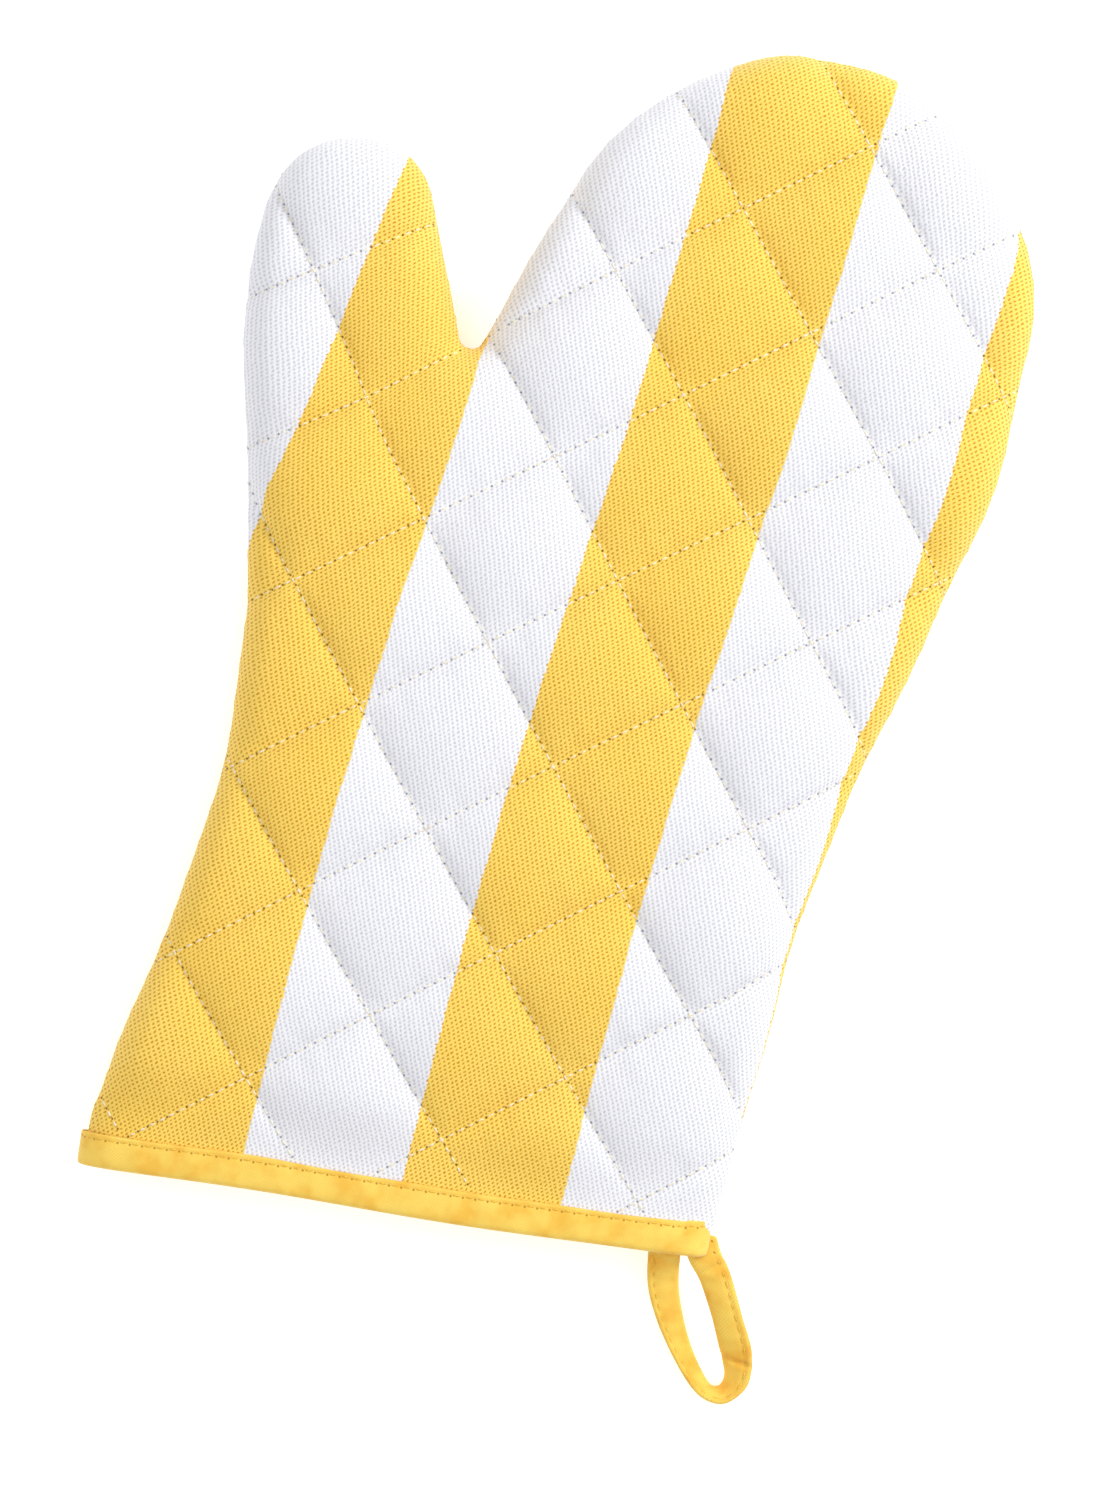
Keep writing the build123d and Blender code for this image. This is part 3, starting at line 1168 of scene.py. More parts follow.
@dataclass(frozen=True)
class Thread:
    """Spun polyester sewing thread: slight gloss along its twisted plies."""

    name: str
    colour: str
    shade: str
    ply: float = 0.5            # mm between the turns of the plies
    surface: ClothSurface = ClothSurface(roughness=0.55, sheen=0.1)

    def material(self) -> bpy.types.Material:
        """Make the material, which is laid by object place: fine enough for so small a piece.

        Returns:
            The finished material.
        """
        material = new_material(self.name)
        tree = material.node_tree
        place = add(tree, "ShaderNodeTexCoord", output="Object")
        plies = add(tree, NOISE, place, named={"Scale": 1.0 / (self.ply * MM), "Detail": 2.0})
        share = add(tree, RANGE, plies, 0.35, 0.7, 0.0, 1.0)
        colour = add(tree, MIX, share, named={6: linear(self.colour), 7: linear(self.shade)}, **COLOURS)
        height = {"Strength": 0.4, "Distance": 0.05 * MM, "Height": plies}
        normal = add(tree, "ShaderNodeBump", named=height)
        self.surface.close(tree, colour, normal)
        return material


@dataclass(frozen=True)
class Wadding:
    """Needled cotton wadding: matted fibres, off-white, no gloss."""

    colour: str = "#F1EFE6"
    shade: str = "#DAD6C8"
    fibre: float = 0.8          # mm across a tuft
    surface: ClothSurface = ClothSurface(roughness=1.0, sheen=0.35)

    def material(self) -> bpy.types.Material:
        """Make the material, which is laid by object place: it is hidden between the cloths.

        Returns:
            The finished material.
        """
        material = new_material("cotton_wadding")
        tree = material.node_tree
        place = add(tree, "ShaderNodeTexCoord", output="Object")
        tufts = add(tree, NOISE, place, named={"Scale": 1.0 / (self.fibre * MM), "Detail": 6.0})
        colour = add(tree, MIX, tufts, named={6: linear(self.colour), 7: linear(self.shade)}, **COLOURS)
        normal = add(tree, "ShaderNodeBump", named={"Strength": 0.8, "Distance": 0.3 * MM, "Height": tufts})
        self.surface.close(tree, colour, normal)
        return material


# ---------------------------------------------------------------------------------------------
# Stitches
# ---------------------------------------------------------------------------------------------


@dataclass
class StitchTree:
    """The node tree that lays one short bar of thread at each point it is given."""

    name: str
    seed: int = 7

    def __post_init__(self) -> None:
        """Build the tree."""
        tree = bpy.data.node_groups.new(self.name, "GeometryNodeTree")
        tree.interface.new_socket("Geometry", in_out="INPUT", socket_type="NodeSocketGeometry")
        for label in ("Length", "Width", "Height", "Unevenness"):
            tree.interface.new_socket(label, in_out="INPUT", socket_type="NodeSocketFloat")
        tree.interface.new_socket("Thread", in_out="INPUT", socket_type="NodeSocketMaterial")
        tree.interface.new_socket("Geometry", in_out="OUTPUT", socket_type="NodeSocketGeometry")
        given = add(tree, "NodeGroupInput").node.outputs
        bar = add(tree, "GeometryNodeMeshUVSphere", 8, 5, 0.5)
        size = add(tree, "ShaderNodeCombineXYZ", given["Length"], given["Width"], given["Height"])
        bar = add(tree, "GeometryNodeTransform", bar, named={"Scale": size})
        along = add(tree, "GeometryNodeInputNamedAttribute", "along", data_type="FLOAT_VECTOR")
        up = add(tree, "GeometryNodeInputNamedAttribute", "up", data_type="FLOAT_VECTOR")
        turn = add(tree, "FunctionNodeAlignRotationToVector", None, 1.0, along, axis="X")
        turn = add(tree, "FunctionNodeAlignRotationToVector", turn, 1.0, up, axis="Z", pivot_axis="X")
        low = add(tree, MATH, 1.0, given["Unevenness"], operation="SUBTRACT")
        high = add(tree, MATH, 1.0, given["Unevenness"], operation="ADD")
        uneven = add(tree, "FunctionNodeRandomValue", data_type="FLOAT", output=1,
                     named={2: low, 3: high, "Seed": self.seed})
        laid = add(tree, "GeometryNodeInstanceOnPoints", given["Geometry"],
                   named={"Instance": bar, "Rotation": turn, "Scale": uneven})
        whole = add(tree, "GeometryNodeRealizeInstances", laid)
        soft = add(tree, "GeometryNodeSetShadeSmooth", whole)
        threaded = add(tree, "GeometryNodeSetMaterial", soft, named={"Material": given["Thread"]})
        add(tree, "NodeGroupOutput", threaded)
        self.tree = tree

    def sew(self, name: str, places: Array, along: Array, up: Array, size: tuple[float, float, float],
            thread: bpy.types.Material, unevenness: float = 0.12) -> bpy.types.Object:
        """A row or field of stitches as one plain mesh.

        Args:
            name: The piece's name.
            places: The stitches' middles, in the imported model's metres.
            along: The way that each one runs.
            up: The way that each one faces.
            size: A stitch's length, width and height in millimetres.
            thread: Its material.
            unevenness: How far sizes differ, as a share.

        Returns:
            The stitches. They have no cloth map: their thread needs none.
        """
        mesh = bpy.data.meshes.new(name + "_places")
        mesh.from_pydata([tuple(p) for p in places], [], [])
        for label, values in (("along", along), ("up", up)):
            attribute = mesh.attributes.new(label, "FLOAT_VECTOR", "POINT")
            attribute.data.foreach_set("vector", values.astype(np.float32).ravel())
        seeds = bpy.data.objects.new(name + "_places", mesh)
        bpy.context.scene.collection.objects.link(seeds)
        modifier = seeds.modifiers.new("stitches", "NODES")
        modifier.node_group = self.tree
        values = dict(zip(("Length", "Width", "Height"), (s * MM for s in size)))
        values.update({"Unevenness": unevenness, "Thread": thread})
        for item in self.tree.interface.items_tree:
            if item.in_out == "INPUT" and item.name in values:
                modifier[item.identifier] = values[item.name]
        depsgraph = bpy.context.evaluated_depsgraph_get()
        sewn = bpy.data.meshes.new_from_object(seeds.evaluated_get(depsgraph))
        bpy.data.objects.remove(seeds)
        bpy.data.meshes.remove(mesh)
        sewn.name = name
        piece = bpy.data.objects.new(name, sewn)
        bpy.context.scene.collection.objects.link(piece)
        dress(piece, thread)
        return piece


# ---------------------------------------------------------------------------------------------
# Where the mitt folds, and baking pieces' transforms
# ---------------------------------------------------------------------------------------------


@dataclass(frozen=True)
class Folds:
    """Where the mitt bends: the thumb's fold and the loop's root."""

    thumb_start: Array
    thumb_end: Array
    loop_start: Array
    loop_end: Array

    @classmethod
    def from_frame(cls, joints: Sequence[dict], drawing: Drawing) -> "Folds":
        """The folds, read from the joints.

        Args:
            joints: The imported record's joints.
            drawing: The drawing frame.

        Returns:
            Where each bend starts and ends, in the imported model's metres.
        """
        thumb = next(joint for joint in joints if joint["name"] == "thumb_flex")
        place, axis = np.array(thumb["pos_m"]), unit(np.array(thumb["axis"], float))
        to_thumb = np.array([-axis[1], axis[0], 0.0])
        root = drawing.metres(np.array([drawing.loop_hinge_x, drawing.loop_hinge_y, 0.0]))
        back = np.array([0.0, 1.0, 0.0])
        return cls(
            thumb_start=place - to_thumb * BLEND_ON_HAND * MM,
            thumb_end=place + to_thumb * BLEND_ON_THUMB * MM,
            loop_start=root + back * 1.5 * MM,
            loop_end=root - back * 5.0 * MM,
        )

    def over_thumb(self, piece: bpy.types.Object) -> None:
        """Bake a piece's transform into its mesh; the piece is not bent.

        Args:
            piece: The piece.
        """
        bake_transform(piece)

    def over_loop_root(self, piece: bpy.types.Object) -> None:
        """Bake a piece's transform into its mesh; the piece is not bent.

        Args:
            piece: The piece.
        """
        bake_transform(piece)


# ---------------------------------------------------------------------------------------------
# The panels
# ---------------------------------------------------------------------------------------------


@dataclass
class QuiltedPanel:
    """One side of the mitt: striped cover, wadding, lining and the quilting that joins them."""

    stock: Stock
    folds: Folds
    side: Side
    cover: float = 0.8
    wadding: float = 4.2
    lining: float = 0.6
    clearance: float = 0.12            # between layers, so that none shows through another
    inner_puffs: float = -0.25         # the lining puffs the other way, by this share of the cover's puffs
    reach: int = 9                     # stitch lines to each side of the lattice's node
    stitch: float = 2.8                # from one needle hole to the next
    thread: tuple[float, float, float] = (1.7, 0.46, 0.38)

    @property
    def label(self) -> str:
        """The panel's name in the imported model."""
        return self.side.name.lower()

    def build(self, patterns: dict[str, PanelPattern], materials: dict[str, bpy.types.Material],
              sewer: StitchTree) -> None:
        """Make the panel's pieces.

        Args:
            patterns: The plan points of the fine cover and the coarser inner layers.
            materials: The finishes by name.
            sewer: What lays the stitches.
        """
        through = self.cover + self.wadding
        pad = (self.cover + self.clearance, through - self.clearance)
        inside = self.inner_puffs
        layers = (
            ("cover", "cloth", patterns["cover"], (0.0, self.cover), (1.0, 1.0), "striped_cotton"),
            ("wadding", "pad", patterns["inner"], pad, (0.9, inside), "wadding"),
            ("lining", "cloth", patterns["lining"], (through, through + self.lining), (inside, inside),
             "lining_cotton"),
        )
        for layer, form, pattern, depths, puffed, slot in layers:
            piece = pattern.shell(f"{self.label}_{layer}_{form}", self.side, depths, puffed)
            dress(piece, materials[slot])
            node = f"{self.label}_{layer}"
            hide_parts(node, f"{node}_thumb")
            self.folds.over_thumb(piece)
            log.info("%s: %d faces", piece.name, len(piece.data.polygons))
        self._quilting(materials["quilting_thread"], sewer)

    def _quilting(self, thread: bpy.types.Material, sewer: StitchTree) -> None:
        """Sew the quilting lines over the cover.

        Args:
            thread: The quilting thread's material.
            sewer: What lays the stitches.
        """
        lay, form, drawing = self.stock.lay, self.stock.form, self.stock.drawing
        count = int(self.reach * lay.pitch / self.stitch) + 18
        runs = (np.arange(-count, count) + 0.5) * self.stitch
        rows = []
        for across in (0, 1):
            for line in range(-self.reach, self.reach + 1):
                row = np.empty((len(runs), 2))
                row[:, across] = line * lay.pitch
                row[:, 1 - across] = runs
                ahead = row.copy()
                ahead[:, 1 - across] += 0.5
                rows.append((lay.plan(lay.from_lattice(row)), lay.plan(lay.from_lattice(ahead))))
        plan = np.vstack([row for row, _ in rows])
        ahead = np.vstack([row for _, row in rows])
        nearest, _ = form.distances(plan)
        keep = inside_line(plan, form.rim) & (nearest > 0.9) & (plan[:, 1] > form.binding_edge + 0.8)
        plan, ahead = plan[keep], ahead[keep]
        places, up = form.surface(plan, self.side, 0.0, 1.0)
        next_places, _ = form.surface(ahead, self.side, 0.0, 1.0)
        along = unit(next_places - places)
        lifted = places + up * 0.10
        name = f"{self.label}_quilting_stitches"
        piece = sewer.sew(name, drawing.metres(lifted), along, up, self.thread, thread)
        node = f"{self.label}_quilting_thread"
        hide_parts(node, f"{node}_thumb")
        self.folds.over_thumb(piece)
        log.info("%s: %d stitches", name, len(places))


# ---------------------------------------------------------------------------------------------
# The cuff's binding
# ---------------------------------------------------------------------------------------------


@dataclass
class CuffBinding:
    """Folded tape round the mouth, over the panels' raw edges, and its row of stitches."""

    stock: Stock
    folds: Folds
    columns: int = 420                       # round the mouth
    panel: float = 3.6                       # thickness of a panel pressed under the tape
    stitch_row: float = 6.7                  # from the cuff's edge
    stitch: float = 3.1
    overlap: float = 71.8                    # where the tape's end starts to lie double, on the palm
    pucker: float = 0.24                     # how far the tape's face rises and falls
    edge_wave: float = 0.22                  # how far its inner edge strays
    slow_wave: float = 0.45                  # how far the whole tape strays
    flare: float = 2.2                       # how much wider it is turned over the side seam
    thread: tuple[float, float, float] = (1.9, 0.5, 0.42)

    def build(self, materials: dict[str, bpy.types.Material], sewer: StitchTree) -> None:
        """Make the tape and its stitches.

        Args:
            materials: The finishes by name.
            sewer: What lays the stitches.
        """
        self._trace()
        section = self._section()
        points = np.empty((len(section), self.columns, 3))
        for row, (height, lift) in enumerate(section):
            points[row] = self._line(height, lift)
        rows, columns = points.shape[:2]
        faces = tube_faces(rows, columns, rows_closed=True, columns_closed=True)
        tape = make_piece("cuff_binding_tape", self.stock.drawing.metres(points.reshape(-1, 3)), faces)
        face_outwards(tape)
        down = np.concatenate([[0.0], np.cumsum(np.linalg.norm(np.diff(section, axis=0), axis=1))])
        top = down[int(np.argmax(section[:, 0] < self.stitch_row))]
        across = np.repeat(self.stitch_row + top - down, columns)
        add_map(tape, "cloth", np.stack([np.tile(self.run, rows), across], axis=1))
        dress(tape, materials["binding_tape"])
        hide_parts("cuff_binding")
        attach(tape, "hand")
        log.info("%s: %d faces", tape.name, len(tape.data.polygons))
        self._stitches(materials["yellow_thread"], sewer)

    def _trace(self) -> None:
        """Where the tape's columns stand round the mouth, evenly by arc length."""
        fine = np.linspace(0.0, 2.0 * math.pi, 4000, endpoint=False)
        ring = self._mouth(fine, 4.0, 0.0)
        steps = np.linalg.norm(np.diff(np.vstack([ring, ring[:1]]), axis=0), axis=1)
        run = np.concatenate([[0.0], np.cumsum(steps)])
        self.around = run[-1]
        self.run = np.linspace(0.0, self.around, self.columns, endpoint=False)
        self.turns = np.interp(self.run, run, np.append(fine, 2.0 * math.pi))

    def _mouth(self, turns: Array, height: float, depth: float) -> Array:
        """The mouth's ring at one height above the cuff's edge.

        Args:
            turns: Angles round the mouth: 0 is its right end, and the palm comes first.
            height: Distance from the cuff's edge.
            depth: How deep the ring lies under the covers' faces.

        Returns:
            Points in the drawing frame.
        """
        form = self.stock.form
        grip = self.panel / FULL_PANEL
        line = form.rim
        left = np.interp(height, line[:40, 1], line[:40, 0])
        right = np.interp(height, line[::-1][:40, 1], line[::-1][:40, 0])
        half = (right - left) / 2.0 - depth * grip
        x = (right + left) / 2.0 + half * np.cos(turns)
        plan = np.stack([x, np.full(len(x), height)], axis=1)
        gap = np.minimum(right - x, x - left)
        points = np.empty((len(x), 3))
        for side, part in ((Side.PALM, turns <= math.pi), (Side.BACK, turns > math.pi)):
            rise = form.rise(plan[part], gap[part], side, depth)
            points[part] = np.column_stack([plan[part], side.value * rise])
        return points

    def _section(self) -> Array:
        """The tape's section: heights over the cuff's edge and lifts off the covers' faces.

        Returns:
            One pair to a row, round the folded tape.
        """
        inner = -self.panel
        return np.array([
            (7.85, 0.12), (7.9, 0.42), (7.75, 0.72), (7.4, 0.86), (7.0, 0.80), (6.7, 0.70), (6.4, 0.80),
            (5.8, 0.93), (4.8, 0.99), (3.6, 1.02), (2.4, 1.0), (1.4, 0.93), (0.6, 0.78), (0.0, 0.5),
            (-0.4, 0.0), (-0.62, -0.7), (-0.7, -1.6), (-0.66, 0.68 * inner), (-0.45, 0.9 * inner),
            (0.0, inner - 0.5), (0.8, inner - 0.85), (2.4, inner - 0.95), (4.6, inner - 0.95),
            (6.2, inner - 0.85), (6.7, inner - 0.74), (7.2, inner - 0.8), (7.55, inner - 0.6),
            (7.55, inner - 0.25), (6.2, inner - 0.16), (3.6, inner - 0.16), (1.2, inner - 0.16),
            (0.35, inner + 0.3), (0.05, 0.6 * inner), (0.0, 0.3 * inner), (0.3, -0.05), (1.2, 0.14),
            (3.6, 0.16), (6.6, 0.14),
        ])

    def _line(self, height: float, lift: float) -> Array:
        """One row of the tape, round the mouth.

        Args:
            height: Its distance from the cuff's edge.
            lift: How far it lies off the covers' faces, outwards.

        Returns:
            Points in the drawing frame.
        """
        depth = max(0.0, -lift) * FULL_PANEL / self.panel
        ring = self._mouth(self.turns, max(height, 0.0), depth)
        ahead, behind = np.roll(ring, -1, axis=0), np.roll(ring, 1, axis=0)
        out = unit(np.cross(ahead - behind, np.array([0.0, 1.0, 0.0])))
        centre = ring.mean(axis=0)
        out *= np.sign(((ring - centre) * out).sum(axis=1).mean())
        ring[:, 1] = height
        free = 1.0 - smooth(abs(height - 3.6), 1.0, 4.6)
        puckers = self.pucker * free * ripple(self.run, ((11.0, 0.3), (7.3, 1.1), (19.0, 2.0)))
        edge = self.edge_wave * smooth(height, 6.0, 7.8) * ripple(self.run, ((37.0, 0.5), (61.0, 1.4)))
        wave = self.slow_wave * ripple(self.run, ((96.0, 0.2), (143.0, 2.4)))
        over = self._overlap(ring)
        raised = 0.3 * over if lift > 0.2 else 0.0
        at_ends = 1.0 - 0.55 * np.abs(np.cos(self.turns)) ** 24
        ring += out * ((max(lift, 0.0) + raised) * at_ends + puckers * (lift > 0.3))[:, None]
        flare = self.flare * np.exp(-((np.minimum(self.turns, 2.0 * math.pi - self.turns) / 0.16) ** 2))
        ring[:, 1] += edge + wave + (0.35 * over + flare) * smooth(height, 2.0, 7.8)
        return ring

    def _overlap(self, ring: Array) -> Array:
        """Where the tape's end lies double, from 0 to 1.

        Args:
            ring: One row of the tape.

        Returns:
            1 where it lies double.
        """
        on_palm = np.where(self.turns <= math.pi, 1.0, 0.0)
        return on_palm * smooth(ring[:, 0], self.overlap, self.overlap + 0.8)

    def _stitches(self, thread: bpy.types.Material, sewer: StitchTree) -> None:
        """The row of stitches through the tape, on its outer and inner faces.

        Args:
            thread: The thread's material.
            sewer: What lays the stitches.
        """
        places, along, up = [], [], []
        run = np.arange(self.stitch / 2.0, self.around, self.stitch)
        for lift, sign in ((0.74, 1.0), (-self.panel - 0.78, -1.0)):
            line = self._line(self.stitch_row, lift)
            closed = np.vstack([line, line[:1]])
            at = np.append(self.run, self.around)
            ahead = (run + 0.4) % self.around
            here = np.column_stack([np.interp(run, at, closed[:, k]) for k in range(3)])
            there = np.column_stack([np.interp(ahead, at, closed[:, k]) for k in range(3)])
            course = unit(there - here)
            out = unit(np.cross(course, np.array([0.0, 1.0, 0.0])))
            out *= np.sign(((here - here.mean(axis=0)) * out).sum(axis=1).mean()) * sign
            places.append(here + 0.05 * out)
            along.append(course)
            up.append(out)
        middles = self.stock.drawing.metres(np.vstack(places))
        course, facing = np.vstack(along), np.vstack(up)
        piece = sewer.sew("cuff_binding_stitches", middles, course, facing, self.thread, thread)
        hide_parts("binding_stitching")
        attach(piece, "hand")


# ---------------------------------------------------------------------------------------------
# The hanging loop
# ---------------------------------------------------------------------------------------------


@dataclass
class HangingLoop:
    """A loop of folded, edge-stitched tape, caught in the side seam under the binding."""

    stock: Stock
    folds: Folds
    # Across each station of the tape: its outer edge, then its inner edge, in drawing millimetres.
    stations: tuple[tuple[float, ...], ...] = (
        (65.0, 8.3, -0.2, 71.6, 8.3, -0.2),
        (64.5, 2.5, -0.5, 72.2, 2.5, -0.6),
        (64.3, -2.0, -0.9, 72.4, -1.3, -1.2),
        (65.5, -10.0, -3.0, 73.2, -8.8, -4.4),
        (68.4, -17.1, -4.4, 75.3, -16.0, -6.6),
        (72.5, -24.1, -5.4, 78.3, -23.0, -8.6),
        (77.6, -30.9, -5.4, 81.8, -29.3, -9.9),
        (82.6, -35.5, -5.0, 84.8, -33.2, -10.1),
        (87.8, -36.9, -4.6, 86.8, -33.5, -10.1),
        (91.4, -35.2, -4.6, 88.0, -32.3, -10.0),
        (94.1, -31.6, -4.8, 88.2, -29.8, -9.4),
        (94.6, -27.3, -4.8, 87.2, -26.6, -8.4),
        (93.8, -22.3, -4.2, 85.6, -22.8, -7.2),
        (92.2, -18.4, -3.7, 84.0, -18.9, -6.2),
        (90.3, -14.5, -3.2, 82.3, -14.9, -5.4),
        (86.9, -6.7, -2.0, 78.4, -7.2, -3.2),
        (84.6, -2.2, -1.6, 75.0, -2.6, -1.8),
        (82.4, 1.0, -1.4, 73.4, 0.8, -0.8),
        (80.6, 4.9, -1.2, 73.0, 5.5, -0.4),
    )
    rows: int = 260
    columns: int = 15
    width: float = 8.0                   # of the tape, on its cloth map
    thickness: float = 1.4
    # Each fold: its place as a share of the length, its lean, its depth and its half width.
    folds_over: tuple[tuple[float, ...], ...] = (
        (0.115, 3.0, 0.55, 0.9),
        (0.645, 1.2, 0.75, 0.7),
        (0.905, -5.0, 0.5, 0.8),
    )
    stitch_share: float = 0.2            # of the tape's width, from its outer edge
    stitch: float = 3.0
    thread: tuple[float, float, float] = (1.9, 0.5, 0.42)

    def build(self, materials: dict[str, bpy.types.Material], sewer: StitchTree) -> None:
        """Make the tape and its stitches.

        Args:
            materials: The finishes by name.
            sewer: What lays the stitches.
        """
        curve = smooth_curve(self.stations, 1200)
        middle = (curve[:, :3] + curve[:, 3:]) / 2.0
        run = np.concatenate([[0.0], np.cumsum(np.linalg.norm(np.diff(middle, axis=0), axis=1))])
        even = np.linspace(0.0, run[-1], self.rows)
        self.run = even
        self.edges = np.column_stack([np.interp(even, run, curve[:, k]) for k in range(6)])
        across = np.linspace(0.0, 1.0, self.columns)
        front = self._face(across, 1.0)
        back = self._face(across, -1.0)[:, ::-1]
        ring = np.concatenate([front, back[:, 1:-1]], axis=1)
        columns = ring.shape[1]
        faces = tube_faces(self.rows, columns, rows_closed=False, columns_closed=True)
        faces += [tuple(range(columns)), tuple(range((self.rows - 1) * columns, self.rows * columns))[::-1]]
        tape = make_piece("hanging_loop_tape", self.stock.drawing.metres(ring.reshape(-1, 3)), faces)
        face_outwards(tape)
        places = np.concatenate([across, across[::-1][1:-1]]) * self.width
        add_map(tape, "cloth", np.stack([np.repeat(even, columns), np.tile(places, self.rows)], axis=1))
        dress(tape, materials["loop_tape"])
        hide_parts("hanging_loop", "loop_tails")
        self.folds.over_loop_root(tape)
        log.info("%s: %d faces", tape.name, len(tape.data.polygons))
        self._stitches(materials["yellow_thread"], sewer)

    def _face(self, across: Array, sign: float) -> Array:
        """One face of the tape.

        Args:
            across: Shares of the tape's width, from its outer edge.
            sign: 1 for the face that looks up, and -1 for the one that looks down.

        Returns:
            Points, row by row.
        """
        outer, inner = self.edges[:, None, :3], self.edges[:, None, 3:]
        share = across[None, :, None]
        flat = outer * (1.0 - share) + inner * share
        run = np.gradient(self.edges[:, :3] + self.edges[:, 3:], axis=0)
        up = unit(np.cross(self.edges[:, 3:] - self.edges[:, :3], run))
        up *= np.where(up[:, 2:] < 0.0, -1.0, 1.0)
        edge = np.abs(2.0 * across - 1.0)
        half = 0.5 * self.thickness * (0.25 + 0.75 * np.sqrt(1.0 - np.minimum(edge, 1.0) ** 7))
        half[[0, -1]] = 0.0
        beyond = np.clip((across - self.stitch_share) / (1.0 - self.stitch_share), 0.0, 1.0)
        pillow = 0.32 * np.sin(math.pi * beyond)
        groove = 0.24 * np.exp(-(((across - self.stitch_share) * self.width / 0.45) ** 2))
        lift = np.tile(half + pillow - groove, (self.rows, 1))
        crumple = ripple(self.run, ((6.1, 0.3), (9.7, 1.0), (15.0, 2.2)))[:, None]
        lift = lift + 0.12 * crumple * np.sin(math.pi * across)[None, :]
        if sign > 0.0:
            lift = lift - self._creases(across)
        return flat + sign * up[:, None, :] * lift[:, :, None]

    def _creases(self, across: Array) -> Array:
        """How deep the folds in the tape's upper face are.

        Args:
            across: Shares of the tape's width.

        Returns:
            Depths, row by row.
        """
        length = self.run[-1]
        depth = np.zeros((self.rows, len(across)))
        for place, lean, deep, wide in self.folds_over:
            line = self.run[:, None] - place * length - lean * (across[None, :] - 0.5)
            depth += deep * np.exp(-((line / wide) ** 2))
        return depth * np.sin(math.pi * np.clip(across, 0.02, 0.98))[None, :] ** 0.4

    def _stitches(self, thread: bpy.types.Material, sewer: StitchTree) -> None:
        """The row of stitches along the loop's outer edge, on both of its faces.

        Args:
            thread: The thread's material.
            sewer: What lays the stitches.
        """
        at = np.arange(12.0, self.run[-1] - 6.0, self.stitch)
        share = self.stitch_share
        flat = self.edges[:, :3] * (1.0 - share) + self.edges[:, 3:] * share
        places, along, up = [], [], []
        for sign in (1.0, -1.0):
            line = self._face(np.array([0.0, share, 1.0]), sign)[:, 1]
            out = unit(line - flat)
            here = np.column_stack([np.interp(at, self.run, line[:, k]) for k in range(3)])
            there = np.column_stack([np.interp(at + 0.4, self.run, line[:, k]) for k in range(3)])
            facing = unit(np.column_stack([np.interp(at, self.run, out[:, k]) for k in range(3)]))
            places.append(here + 0.08 * facing)
            along.append(unit(there - here))
            up.append(facing)
        middles = self.stock.drawing.metres(np.vstack(places))
        courses, faces = np.vstack(along), np.vstack(up)
        piece = sewer.sew("hanging_loop_stitches", middles, courses, faces, self.thread, thread)
        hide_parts("loop_stitching")
        self.folds.over_loop_root(piece)


# ---------------------------------------------------------------------------------------------
# The side seam, inside the mitt
# ---------------------------------------------------------------------------------------------


